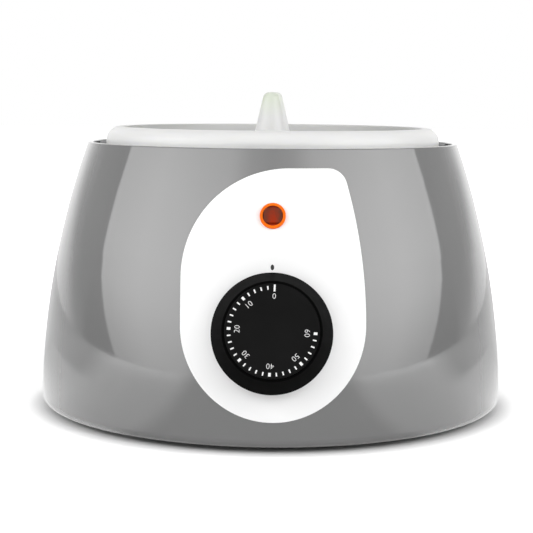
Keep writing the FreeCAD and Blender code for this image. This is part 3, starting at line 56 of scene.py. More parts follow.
# The dial's own place: its Z axis points out of the knob's face, and its Y axis up the flank.
KNOB_JOINT = next(joint for joint in frame["joints"] if joint["name"] == "knob_turn")
KNOB_PIVOT = Vector(KNOB_JOINT["pos_m"])
DIAL_OUT = -Vector(KNOB_JOINT["axis"]).normalized()
DIAL_PLACE = Matrix.Translation(KNOB_PIVOT) @ DIAL_OUT.to_track_quat("Z", "Y").to_matrix().to_4x4()
KNOB_FACE = max((point.co - KNOB_PIVOT).dot(DIAL_OUT)
                for point in frame["nodes"]["control_knob"].data.vertices)


# Sizes and colours that a user may change


def length(name, description, default, largest=1.0):
    return FloatProperty(name=name, description=description, default=default, min=0.0,
                         max=largest, unit="LENGTH", precision=5)


def share(name, description, default):
    return FloatProperty(name=name, description=description, default=default, min=0.0, max=1.0,
                         subtype="FACTOR")


def level(name, description, default):
    return FloatProperty(name=name, description=description, default=default, min=0.0)


def angle(name, description, degrees):
    return FloatProperty(name=name, description=description, default=math.radians(degrees),
                         unit="ROTATION")


def colour(name, description, default):
    return FloatVectorProperty(name=name, description=description, default=default, size=3,
                               min=0.0, max=1.0, subtype="COLOR")


class MelterShell(PropertyGroup):
    casing: colour("Casing", "Colour of the moulded casing", (0.132, 0.132, 0.132))
    casing_gloss: share("Casing roughness", "Roughness of the casing's polished skin", 0.07)
    label: colour("Label", "Colour of the bare front label", (0.87, 0.87, 0.87))
    ink: colour("Index ink", "Colour of the index mark above the dial", (0.01, 0.01, 0.01))
    index_width: length("Index width", "Width of the index mark", 1.6 * MM)
    index_height: length("Index height", "Height of the index mark", 2.5 * MM)
    index_level: length("Index level", "Height of the index mark above the worktop", 84.0 * MM)
    lid: colour("Lid", "Colour of the lid's milky ring", (0.72, 0.72, 0.715))
    # The plate's darker colour is painted shade in the recess inside the ring.
    plate: colour("Plate", "Colour of the lid's thin plate in the ring", (0.54, 0.54, 0.535))
    grip_foot: colour("Grip foot", "Colour of the grip near the plate", (0.65, 0.65, 0.645))
    grip: colour("Grip", "Colour of the grip's thin-walled top", (0.6, 0.64, 0.55))


class MelterDial(PropertyGroup):
    knob: colour("Knob", "Colour of the control knob", (0.003, 0.003, 0.003))
    face: colour("Face", "Colour of the knob's flat face", (0.009, 0.009, 0.009))
    paint: colour("Scale", "Colour of the printed scale", (0.8, 0.8, 0.8))
    step: angle("Step", "Turn between two ticks", 9.0)
    rest_turn: angle("Rest turn", "How far past the index the zero stands at rest", 3.0)
    tick_inner: length("Tick start", "Radius at which a tick starts", 18.1 * MM)
    tick_outer: length("Tick end", "Radius at which a tick ends", 19.7 * MM)
    tick_width: length("Tick width", "Width of a small tick", 0.6 * MM)
    tens_width: length("Tens width", "Width of the tick at each numeral", 1.15 * MM)
    zero_inner: length("Zero start", "Radius at which the zero mark starts", 17.3 * MM)
    zero_outer: length("Zero end", "Radius at which the zero mark ends", 20.3 * MM)
    zero_width: length("Zero width", "Width of the zero mark", 0.8 * MM)
    numeral_radius: length("Numeral radius", "Radius of the middle of the numerals", 15.3 * MM)
    numeral_height: length("Numeral height", "Height of the numerals", 2.5 * MM)
    paint_depth: length("Paint", "Thickness of the printed paint", 0.03 * MM)
    ticks: IntProperty(name="Ticks", description="Number of steps on the scale", default=30, min=1)


class MelterLamp(PropertyGroup):
    collar: colour("Collar", "Colour of the lamp's collar", (0.95, 0.15, 0.001))
    window: colour("Window", "Colour of the lamp's unlit window", (0.11, 0.032, 0.018))
    # Painted light: the unlit window's middle is drawn in this brighter red.
    painted_window_glow: colour("Window core", "Colour of the window's middle", (0.32, 0.024, 0.003))


class MelterStage(PropertyGroup):
    focal: FloatProperty(name="Focal length", description="Camera lens in millimetres",
                         default=95.34, subtype="DISTANCE_CAMERA")
    eye: FloatVectorProperty(name="Eye", description="Place of the camera", size=3,
                             subtype="TRANSLATION", default=(-0.002646, -0.74024, 0.16118),
                             precision=5)
    pitch: angle("Pitch", "How far the camera looks down", 6.96)
    roll: angle("Roll", "How far the camera leans", 0.468)
    low_light: level("Low light", "Level of the air's light at the horizon", 0.1)
    high_light: level("High light", "Level of the air's light overhead", 0.4)
    tent: level("Tent", "Radiance of the tent's brightest part", 3.6)
    tent_radius: length("Tent radius", "Distance of the tent's wall from the object", 1.15, 3.0)
    tent_height: length("Tent height", "Height of the tent's wall", 1.0)
    floor: colour("Floor", "Colour of the studio floor", (0.8, 0.8, 0.8))
    mirror_near: length("Mirrored floor start",
                        "Distance at which the bright mirrored floor beside starts to fade",
                        0.28, 3.0)
    mirror_far: length("Mirrored floor end",
                       "Distance at which the bright mirrored floor beside has faded",
                       0.36, 3.0)


# Shader maths


class Flow:
    """One output of a shader node. Python's operators on it add Math nodes."""

    def __init__(self, nodes, socket):
        self.nodes = nodes
        self.socket = socket

    def __add__(self, other):
        return self.nodes.maths("ADD", self, other)

    __radd__ = __add__

    def __mul__(self, other):
        return self.nodes.maths("MULTIPLY", self, other)

    __rmul__ = __mul__

    def __sub__(self, other):
        return self.nodes.maths("SUBTRACT", self, other)

    def __rsub__(self, other):
        return self.nodes.maths("SUBTRACT", other, self)

    def __truediv__(self, other):
        return self.nodes.maths("DIVIDE", self, other)

    def __rtruediv__(self, other):
        return self.nodes.maths("DIVIDE", other, self)

    def __neg__(self):
        return self * -1.0

    def __abs__(self):
        return self.nodes.maths("ABSOLUTE", self)

    def root(self):
        return self.nodes.maths("SQRT", self)

    def larger(self, other):
        return self.nodes.maths("MAXIMUM", self, other)

    def stretched(self, low, high):
        """0 below low, 1 above high and even in between."""
        return self.nodes.node("ShaderNodeMapRange", {"clamp": True}, {0: self, 1: low, 2: high})


def opaque(shade):
    """A colour of three numbers, with its alpha."""
    return (*tuple(shade)[:3], 1.0)


class Nodes:
    """A node tree. Its patterns are expressions on flows."""

    def __init__(self, tree):
        self.tree = tree

    def node(self, kind, settings=None, sockets=None, output=0):
        """Add a node: its settings come first, then the values or flows of its sockets."""
        made = self.tree.nodes.new(kind)
        for field, value in (settings or {}).items():
            if field == "stops":
                self.set_stops(made.color_ramp.elements, value)
            else:
                setattr(made, field, value)
        for socket, value in (sockets or {}).items():
            self.feed(made.inputs[socket], value)
        return made if output is None else Flow(self, made.outputs[output])

    def set_stops(self, ramp, stops):
        """Give a ramp its stops, each a position and a grey level."""
        while len(ramp) < len(stops):
            ramp.new(1.0)
        for element, (position, grey) in zip(ramp, stops):
            element.position = position
            element.color = opaque((grey,) * 3)

    def feed(self, socket, value):
        if isinstance(value, Flow):
            self.tree.links.new(value.socket, socket)
        else:
            socket.default_value = opaque(value) if socket.type == "RGBA" else value

    def maths(self, operation, *values):
        return self.node("ShaderNodeMath", {"operation": operation}, dict(enumerate(values)))

    def place(self, stretch=None):
        """Where a point lies on the object, in metres, squeezed along some axes if asked."""
        spot = self.node("ShaderNodeTexCoord", output="Object")
        if stretch is None:
            return spot
        return self.node("ShaderNodeVectorMath", {"operation": "MULTIPLY"}, {0: spot, 1: stretch})

    def axes(self):
        """The three numbers of a point's place: across, along and up."""
        parts = self.node("ShaderNodeSeparateXYZ", None, {0: self.place()}, output=None)
        return [Flow(self, output) for output in parts.outputs]

    def bearing(self):
        """How far round a point lies, from 0 straight ahead to pi straight behind."""
        across, along, _ = self.axes()
        return self.maths("ARCTAN2", abs(across), -along)

    def noise(self, size, detail=2.0, stretch=None):
        """Cloudy noise whose blotches are about this size, in metres."""
        return self.node("ShaderNodeTexNoise", {"normalize": True},
                         {"Vector": self.place(stretch), "Scale": 1 / size, "Detail": detail})

    def cells(self, size):
        """Distances to scattered points that are about this far apart, in metres."""
        return self.node("ShaderNodeTexVoronoi", {"feature": "F1"},
                         {"Vector": self.place(), "Scale": 1 / size})

    def mixed(self, share_of_second, first, second):
        """A colour between two colours. A Mix node keeps its colours in sockets 6 and 7."""
        return self.node("ShaderNodeMix", {"data_type": "RGBA"},
                         {0: share_of_second, 6: first, 7: second}, output=2)

    def camera_rays(self):
        """1 for rays from the camera and 0 for the rest."""
        return self.node("ShaderNodeLightPath", output="Is Camera Ray")

    def mirror_rays(self):
        """1 for rays from gloss and through clear pieces, and 0 for the rest."""
        gloss = self.node("ShaderNodeLightPath", output="Is Glossy Ray")
        return gloss.larger(self.node("ShaderNodeLightPath", output="Is Transmission Ray"))


class Finish(Nodes):
    """A material with its shader."""

    def __init__(self, name, sockets):
        self.material = bpy.data.materials.new(name)
        self.material.use_nodes = True
        super().__init__(self.material.node_tree)
        self.shader = self.tree.nodes["Principled BSDF"]
        for socket, value in sockets.items():
            self.surface(socket, value)

    def surface(self, socket, value):
        self.feed(self.shader.inputs[socket], value)

    def relief(self, height, depth):
        """Let a pattern from 0 to 1 stand this far out of the surface, in metres."""
        self.surface("Normal", self.node("ShaderNodeBump", None, {
            "Height": height, "Distance": depth, "Strength": 1.0}))

    def shades(self, pattern, base, spread):
        """The base colour, a little darker and lighter by the pattern."""
        darker = [channel * (1 - spread) for channel in base[:3]]
        lighter = [min(1.0, channel * (1 + spread)) for channel in base[:3]]
        return self.mixed(pattern, darker, lighter)


def polished_plastic(name, base, roughness, spread=0.02, coat=0.0):
    """Smooth moulded plastic: faint clouds in its colour and gloss, and a trace of orange peel."""
    finish = Finish(name, {"Base Color": base, "Roughness": roughness, "Coat Weight": coat,
                           "Coat Roughness": 0.04})
    clouds = finish.noise(30 * MM)
    wiped = finish.noise(9 * MM, detail=4.0, stretch=(1.0, 1.0, 0.3))
    peel = finish.noise(2.2 * MM, detail=1.0)
    finish.surface("Base Color", finish.shades(clouds, base, spread))
    finish.surface("Roughness", roughness + (wiped - 0.5) * roughness * 0.6)
    finish.relief(peel, 0.004 * MM)
    return finish


def grained_plastic(name, base, roughness, grain=0.35 * MM, depth=0.02 * MM, gloss=0.5):
    """Spark-eroded plastic: an even fine grain, with clouds in its colour and gloss."""
    finish = Finish(name, {"Base Color": base, "Roughness": roughness, "Specular IOR Level": gloss})
    clouds = finish.noise(12 * MM)
    wiped = finish.noise(6 * MM, detail=3.0)
    finish.surface("Base Color", finish.shades(clouds, base, spread=0.12))
    finish.surface("Roughness", roughness + (wiped - 0.5) * 0.12)
    finish.relief(finish.cells(grain), depth)
    return finish


def brushed_metal(name, base, roughness, stretch=(1.0, 1.0, 0.02)):
    """Metal with fine lines along its worked direction and clouds of wear."""
    finish = Finish(name, {"Base Color": base, "Metallic": 1.0, "Roughness": roughness})
    lines = finish.noise(0.25 * MM, detail=3.0, stretch=stretch)
    clouds = finish.noise(14 * MM, detail=3.0)
    finish.surface("Base Color", finish.shades(clouds, base, spread=0.06))
    finish.surface("Roughness", roughness + (lines - 0.5) * 0.12 + (clouds - 0.5) * 0.1)
    finish.relief(lines, 0.004 * MM)
    return finish


def soft_rubber(name, base):
    """Dull rubber with a dusty bloom."""
    finish = Finish(name, {"Base Color": base})
    bloom = finish.noise(5 * MM, detail=4.0)
    finish.surface("Base Color", finish.shades(bloom, base, spread=0.25))
    finish.surface("Roughness", 0.65 + bloom * 0.2)
    finish.relief(finish.noise(0.5 * MM), 0.02 * MM)
    return finish


def fibre_mat(name, base):
    """Pressed mineral fibre: pale strands crossing in all directions."""
    finish = Finish(name, {"Base Color": base, "Roughness": 0.95, "Sheen Weight": 0.15})
    along = finish.noise(0.5 * MM, detail=3.0, stretch=(1.0, 0.12, 1.0))
    across = finish.noise(0.5 * MM, detail=3.0, stretch=(0.12, 1.0, 0.5))
    strands = along.larger(across)
    finish.surface("Base Color", finish.shades(strands, base, spread=0.22))
    finish.relief(strands, 0.15 * MM)
    return finish


def printed_ink(name, base):
    """Screen-printed ink, a little uneven in cover."""
    finish = Finish(name, {"Base Color": base, "Roughness": 0.5})
    cover = finish.noise(0.4 * MM)
    finish.surface("Base Color", finish.shades(cover, base, spread=0.08))
    finish.relief(cover, 0.004 * MM)
    return finish


def wear(finish, *names):
    """Give CAD nodes their finish."""
    for name in names:
        mesh = frame["nodes"][name].data
        mesh.materials.clear()
        mesh.materials.append(finish.material)


# Meshes


def mesh_of(name, drawn):
    mesh = bpy.data.meshes.new(name)
    drawn.to_mesh(mesh)
    drawn.free()
    return mesh


def slab(drawn, low, high):
    """Close a thin body between two rings of points."""
    drawn.faces.new(high)
    drawn.faces.new(low[::-1])
    for step in range(len(low)):
        after = (step + 1) % len(low)
        drawn.faces.new((low[step], low[after], high[after], high[step]))


def new_piece(name, drawn, body, finish):
    """A printed piece of its own on one of the bodies."""
    drawn.normal_update()
    piece = bpy.data.objects.new(name, mesh_of(name, drawn))
    bpy.context.scene.collection.objects.link(piece)
    piece.data.materials.append(finish.material)
    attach(piece, body)


# The pieces


class MELTER_OT_casing(Operator):
    """Give the casing its polished grey skin"""

    bl_idname = "melter.casing"
    bl_label = "Casing"

    def execute(self, context):
        shell = context.scene.melter_shell
        skin = polished_plastic("casing_plastic", shell.casing, shell.casing_gloss, coat=1.0)
        wear(skin, "casing")
        return {"FINISHED"}


INK_DEPTH = 0.03 * MM
MARK_SIDES = 32


class MELTER_OT_label(Operator):
    """Give the bare front label its satin film and draw the index mark above the dial"""

    bl_idname = "melter.label"
    bl_label = "Front label"

    def execute(self, context):
        shell = context.scene.melter_shell
        film = Finish("label_film", {"Base Color": shell.label})
        film.surface("Base Color", film.shades(film.noise(20 * MM), shell.label, spread=0.015))
        film.surface("Roughness", 0.28 + film.noise(4 * MM, detail=3.0) * 0.08)
        film.relief(film.noise(0.6 * MM), 0.003 * MM)
        wear(film, "front_label")
        new_piece("index_mark", self.draw_mark(shell), "casing_unit",
                  printed_ink("index_ink", shell.ink))
        return {"FINISHED"}

    def draw_mark(self, shell):
        """An oval of ink that follows the label's curve."""
        label = frame["nodes"]["front_label"].data
        skin = BVHTree.FromPolygons([point.co for point in label.vertices],
                                    [face.vertices for face in label.polygons])
        drawn = bmesh.new()
        rings = []
        for proud in (0.0, INK_DEPTH):
            ring = []
            for step in range(MARK_SIDES):
                turn = math.tau * step / MARK_SIDES
                across = math.cos(turn) * shell.index_width / 2
                height = shell.index_level + math.sin(turn) * shell.index_height / 2
                spot, _, _, _ = skin.ray_cast(Vector((across, -1, height)), Vector((0, 1, 0)))
                ring.append(drawn.verts.new(spot - Vector((0, proud, 0))))
            rings.append(ring)
        slab(drawn, *rings)
        return drawn


# The grained face of the knob is coloured from just under its level.
FACE_EDGE = (-0.5 * MM, -0.2 * MM)
TICKS_PER_NUMERAL = 5
COUNT_PER_TICK = 2
# A numeral's height as a share of its font's size, how much of its height its strokes lose on
# each side, and how far apart its digits stand.
NUMERAL_SHARE = 0.73
NUMERAL_THINNED = 0.02
NUMERAL_SPACING = 1.05


def numeral_mesh(text, height, depth):
    """A flat number, centred on its own origin."""
    curve = bpy.data.curves.new(f"numeral_{text}", "FONT")
    curve.body = text
    curve.align_x = "CENTER"
    curve.size = height / NUMERAL_SHARE
    curve.extrude = depth / 2
    curve.space_character = NUMERAL_SPACING
    curve.offset = -NUMERAL_THINNED * height
    holder = bpy.data.objects.new(f"numeral_{text}", curve)
    bpy.context.scene.collection.objects.link(holder)
    bpy.context.view_layer.update()
    drawn = holder.evaluated_get(bpy.context.evaluated_depsgraph_get())
    mesh = bpy.data.meshes.new_from_object(drawn)
    bpy.data.objects.remove(holder)
    bpy.data.curves.remove(curve)
    heights = [point.co.y for point in mesh.vertices]
    mesh.transform(Matrix.Translation((0, -(min(heights) + max(heights)) / 2, 0)))
    return mesh


class MELTER_OT_dial(Operator):
    """Give the knob its black grain and print the numbered scale on its face"""

    bl_idname = "melter.dial"
    bl_label = "Dial"

    def execute(self, context):
        dial = context.scene.melter_dial
        self.finish_knob(dial)
        wear(brushed_metal("spindle_steel", (0.6, 0.6, 0.61), 0.3), "thermostat_spindle",
             "knob_clip")
        drawn = bmesh.new()
        self.draw_ticks(dial, drawn)
        self.draw_numerals(dial, drawn)
        new_piece("dial_scale", drawn, "knob", printed_ink("scale_paint", dial.paint))
        return {"FINISHED"}

    def finish_knob(self, dial):
        knob = grained_plastic("knob_plastic", dial.knob, 0.38, grain=0.3 * MM,
                               depth=0.008 * MM, gloss=0.003)
        forward = knob.node("ShaderNodeVectorMath", {"operation": "DOT_PRODUCT"},
                            {0: knob.place(), 1: tuple(DIAL_OUT)}, output="Value")
        face = KNOB_FACE + KNOB_PIVOT.dot(DIAL_OUT)
        on_face = forward.stretched(*(face + edge for edge in FACE_EDGE))
        clouds = knob.shades(knob.noise(12 * MM), dial.face, spread=0.2)
        knob.surface("Base Color", knob.mixed(on_face, dial.knob, clouds))
        wear(knob, "control_knob")

    def turned(self, dial, index):
        """The place of a tick or numeral, anticlockwise from the top."""
        return DIAL_PLACE @ Matrix.Rotation(index * dial.step - dial.rest_turn, 4, "Z")

    def draw_ticks(self, dial, drawn):
        for index in range(dial.ticks + 1):
            inner, outer, width = dial.tick_inner, dial.tick_outer, dial.tick_width
            if index == 0:
                inner, outer, width = dial.zero_inner, dial.zero_outer, dial.zero_width
            elif index % TICKS_PER_NUMERAL == 0:
                width = dial.tens_width
            place = self.turned(dial, index)
            half = width / 2
            corners = [(-half, inner), (half, inner), (half, outer), (-half, outer)]
            slab(drawn, *([drawn.verts.new(place @ Vector((x, y, height))) for x, y in corners]
                          for height in (KNOB_FACE, KNOB_FACE + dial.paint_depth)))

    def draw_numerals(self, dial, drawn):
        middle = KNOB_FACE + dial.paint_depth / 2
        for index in range(0, dial.ticks + 1, TICKS_PER_NUMERAL):
            mesh = numeral_mesh(str(index * COUNT_PER_TICK), dial.numeral_height,
                                dial.paint_depth)
            mesh.transform(self.turned(dial, index)
                           @ Matrix.Translation((0, dial.numeral_radius, middle)))
            drawn.from_mesh(mesh)
            bpy.data.meshes.remove(mesh)


# How far from the window's upright middle line, and over which heights, its painted glow fades.
GLOW_WIDTH = (0.8 * MM, 3.2 * MM)
GLOW_HEIGHT = (104.5 * MM, 109.5 * MM)
GLOW_MIDDLE = 0.35
GLOW_LOWER = 0.5
GLOW_FACETS = 0.25


class MELTER_OT_pilot_lamp(Operator):
    """Give the pilot lamp its orange collar and its dark red window"""

    bl_idname = "melter.pilot_lamp"
    bl_label = "Pilot lamp"

    def execute(self, context):
        lamp = context.scene.melter_lamp
        collar = Finish("collar_plastic", {"Base Color": lamp.collar, "Roughness": 0.25,
                                           "Specular IOR Level": 0.12})
        clouds = collar.noise(2 * MM)
        collar.surface("Base Color", collar.shades(clouds, lamp.collar, spread=0.08))
        collar.relief(collar.noise(0.8 * MM), 0.004 * MM)
        wear(collar, "pilot_lamp_bezel")
        window = Finish("window_plastic", {"Base Color": lamp.window, "Roughness": 0.12,
                                           "Specular IOR Level": 0.06})
        across, _, rise = window.axes()
        middle = 1 - abs(across).stretched(*GLOW_WIDTH)
        lower = 1 - rise.stretched(*GLOW_HEIGHT)
        facets = window.cells(1.3 * MM).stretched(0.2, 0.9)
        # Painted light: the unlit window is brighter red in its middle, low down and on facets.
        glow = middle * (lower * GLOW_LOWER + GLOW_MIDDLE) + facets * GLOW_FACETS
        window.surface("Base Color", window.mixed(glow, lamp.window, lamp.painted_window_glow))
        window.relief(window.noise(1.2 * MM, detail=1.0), 0.01 * MM)
        wear(window, "pilot_lamp_core")
        wear(brushed_metal("lamp_clip_steel", (0.62, 0.62, 0.63), 0.35), "pilot_lamp_clip")
        return {"FINISHED"}


# The box round the lid's grip: half its width, half its length and its foot. Then the heights
# over which its walls get thinner, and the radii over which the plate's painted shade gives
# way to the ring.
GRIP_WIDTH = (12 * MM, 14 * MM)
GRIP_LENGTH = (34 * MM, 36 * MM)
GRIP_FOOT = (136.5 * MM, 138.5 * MM)
GRIP_THIN = (149 * MM, 159 * MM)
PLATE_SHADE_EDGE = (77.7 * MM, 79.2 * MM)


class MELTER_OT_lid(Operator):
    """Give the lid its milky plastic, with painted shade on the plate inside its ring"""

    bl_idname = "melter.lid"
    bl_label = "Lid"

    def execute(self, context):
        shell = context.scene.melter_shell
        milky = Finish("lid_plastic", {
            "Base Color": shell.lid,
            "Subsurface Weight": 0.35,
            "Subsurface Radius": (1.0, 1.0, 0.8),
            "Subsurface Scale": 3 * MM,
        })
        across, along, rise = milky.axes()
        narrow = 1 - abs(across).stretched(*GRIP_WIDTH)
        short = 1 - abs(along).stretched(*GRIP_LENGTH)
        on_grip = rise.stretched(*GRIP_FOOT) * narrow * short
        grip = milky.mixed(rise.stretched(*GRIP_THIN), shell.grip_foot, shell.grip)
        ring = milky.shades(milky.noise(25 * MM), shell.lid, spread=0.03)
        # Painted shade: inside the ring the lid takes the darker plate colour.
        on_ring = (across * across + along * along).root().stretched(*PLATE_SHADE_EDGE)
        shaded_plate_and_ring = milky.mixed(on_ring, shell.plate, ring)
        milky.surface("Base Color", milky.mixed(on_grip, shaded_plate_and_ring, grip))
        milky.surface("Roughness", 0.26 + milky.noise(6 * MM, detail=4.0) * 0.12)
        milky.relief(milky.noise(1.5 * MM), 0.006 * MM)
        wear(milky, "lid")
        return {"FINISHED"}


class MELTER_OT_bowl(Operator):
    """Give the lift-out bowl its brushed steel"""

    bl_idname = "melter.bowl"
    bl_label = "Bowl"

    def execute(self, context):
        wear(brushed_metal("bowl_steel", (0.66, 0.66, 0.67), 0.22, (0.02, 0.02, 1.0)), "bowl")
        return {"FINISHED"}


class MELTER_OT_heater(Operator):
    """Give the heating well, its heater and its insulation their finishes"""

    bl_idname = "melter.heater"
    bl_label = "Heating well"

    def execute(self, context):
        wear(brushed_metal("well_aluminium", (0.76, 0.77, 0.78), 0.38, (0.03, 0.03, 1.0)),
             "heating_well")
        wear(soft_rubber("heater_silicone", (0.42, 0.09, 0.05)), "heater_mat", "well_gasket")
        wear(fibre_mat("mineral_fibre", (0.78, 0.77, 0.72)), "insulation_disc",
             "insulation_wrap")
        wear(brushed_metal("zinc_plate", (0.58, 0.59, 0.6), 0.4, (0.1, 1.0, 1.0)),
             "heater_clamp_plate", "heater_clamp_nut", "well_nuts", "cutout_nuts", "bulb_clip")
        wear(grained_plastic("cutout_ceramic", (0.75, 0.73, 0.68), 0.5), "thermal_cutout")
        return {"FINISHED"}


class MELTER_OT_thermostat(Operator):
    """Give the thermostat, its bulb and its capillary their finishes"""

    bl_idname = "melter.thermostat"
    bl_label = "Thermostat"

    def execute(self, context):
        wear(grained_plastic("thermostat_moulding", (0.03, 0.03, 0.032), 0.5),
             "thermostat_body")
        wear(brushed_metal("plate_steel", (0.6, 0.6, 0.6), 0.38, (1.0, 0.05, 1.0)),
             "thermostat_plate", "thermostat_screws")
        wear(brushed_metal("copper", (0.72, 0.38, 0.24), 0.3), "thermostat_capsule",
             "sensing_bulb", "capillary_tube")
        return {"FINISHED"}


EARTH_GREEN = (0.1, 0.32, 0.03)
EARTH_YELLOW = (0.7, 0.6, 0.03)


class MELTER_OT_wiring(Operator):
    """Give the leads and the terminal block their finishes"""

    bl_idname = "melter.wiring"
    bl_label = "Wiring"

    def execute(self, context):
        wear(polished_plastic("brown_insulation", (0.12, 0.045, 0.02), 0.4, spread=0.1),
             "live_lead", "switched_lead", "heater_lead", "lamp_live_lead")
        wear(polished_plastic("blue_insulation", (0.02, 0.09, 0.42), 0.4, spread=0.1),
             "neutral_lead", "lamp_neutral_lead")
        earth = Finish("striped_insulation", {"Base Color": EARTH_GREEN, "Roughness": 0.4})
        bands = earth.node("ShaderNodeTexWave", {"bands_direction": "DIAGONAL"},
                           {"Vector": earth.place(), "Scale": 60.0, "Distortion": 0.0})
        stripes = bands.stretched(0.48, 0.52)
        earth.surface("Base Color", earth.mixed(stripes, EARTH_GREEN, EARTH_YELLOW))
        earth.relief(earth.noise(1 * MM), 0.01 * MM)
        wear(earth, "earth_lead")
        wear(grained_plastic("terminal_nylon", (0.72, 0.71, 0.67), 0.45), "terminal_block")
        wear(brushed_metal("terminal_brass", (0.72, 0.52, 0.22), 0.3), "terminal_screws")
        return {"FINISHED"}


class MELTER_OT_base(Operator):
    """Give the base plate, the feet and their screws their finishes"""

    bl_idname = "melter.base"
    bl_label = "Base"

    def execute(self, context):
        wear(grained_plastic("base_moulding", (0.03, 0.03, 0.03), 0.55, grain=0.6 * MM,
                             depth=0.04 * MM), "base_plate")
        wear(soft_rubber("foot_rubber", (0.02, 0.02, 0.02)), "rubber_feet")
        wear(brushed_metal("screw_steel", (0.55, 0.55, 0.55), 0.35), "base_screws",
             "foot_screws")
        return {"FINISHED"}


class MELTER_OT_gland(Operator):
    """Give the cable gland at the back its nylon and its rubber seal"""

    bl_idname = "melter.gland"
    bl_label = "Cable gland"

    def execute(self, context):
        wear(grained_plastic("gland_nylon", (0.02, 0.02, 0.021), 0.42), "cable_gland",
             "gland_nut", "gland_locknut")
        wear(soft_rubber("gland_rubber", (0.03, 0.03, 0.03)), "gland_seal")
        return {"FINISHED"}


# The studio


def bearings(low, high):
    """Two bearings in degrees, from straight ahead, as radians."""
    return math.radians(low), math.radians(high)


# The tent's brightness by its bearing, from straight ahead (0) to straight behind (1). The sharp
# fall just behind the sides gives the dark stripes on the casing their inner edges.
TENT_ROUND = (
    (0.0, 0.42),
    (0.073, 0.55),
    (0.146, 0.88),
    (0.291, 1.0),
    (0.378, 1.0),
    (0.444, 0.85),
    (0.502, 0.7),
    (0.533, 0.65),
    (0.538, 0.17),
    (0.66, 0.15),
    (0.73, 0.18),
    (0.8, 0.28),
    (0.84, 0.31),
    (1.0, 0.3),
)
# The tent's brightness by its height, from the floor (0) to its upper edge (1).
TENT_RISE = (
    (0.0, 0.66),
    (0.08, 0.76),
    (0.2, 0.92),
    (0.34, 1.0),
    (0.6, 0.95),
    (1.0, 0.75),
)
TENT_STEPS = 72
# The tent's bright part is narrower toward the floor and toward its upper edge.
TENT_LOW = (0.0, 0.3)
TENT_LOW_BEND = 0.25
TENT_HIGH = (0.55, 1.0)
TENT_HIGH_BEND = 0.1
# Straight ahead the tent is open low down, where the camera stands.
DOOR_SIDE = bearings(20, 40)
DOOR_TOP = (0.3, 0.55)
# Behind, it is nearly as bright low down as above.
REAR_SIDE = bearings(88, 104)
REAR_LEVEL = 0.92

FLOOR_REACH = 6.0
# The camera sees the floor white, also far off where less light falls on it, and with painted
# shadow in the gap under the casing.
SEEN_NEAR = (1.5, 1.5, 1.5)
SEEN_FAR = (5.0, 5.0, 5.0)
SEEN_FADE = (0.2, 1.0)
SEEN_GAP_SHADE = (0.5, 0.5, 0.5)
GAP_SHADE_EDGE = (112 * MM, 128 * MM)
# Gloss sees it brighter at the front quarters, and plain ahead, behind and far off beside.
MIRROR_BRIGHT = (1.6, 1.6, 1.6)
MIRROR_PLAIN = (0.9, 0.9, 0.9)
MIRROR_AHEAD = bearings(34, 42)
MIRROR_BESIDE = bearings(78, 92)
MIRROR_BEHIND = bearings(85, 125)

SENSOR_WIDTH = 36.0
NEAREST_SEEN = 0.01


def stage_piece(name, drawn, material):
    """A piece of the studio, which isn't part of the object."""
    piece = bpy.data.objects.new(name, mesh_of(name, drawn))
    piece.data.materials.append(material)
    bpy.context.scene.collection.objects.link(piece)
    return piece


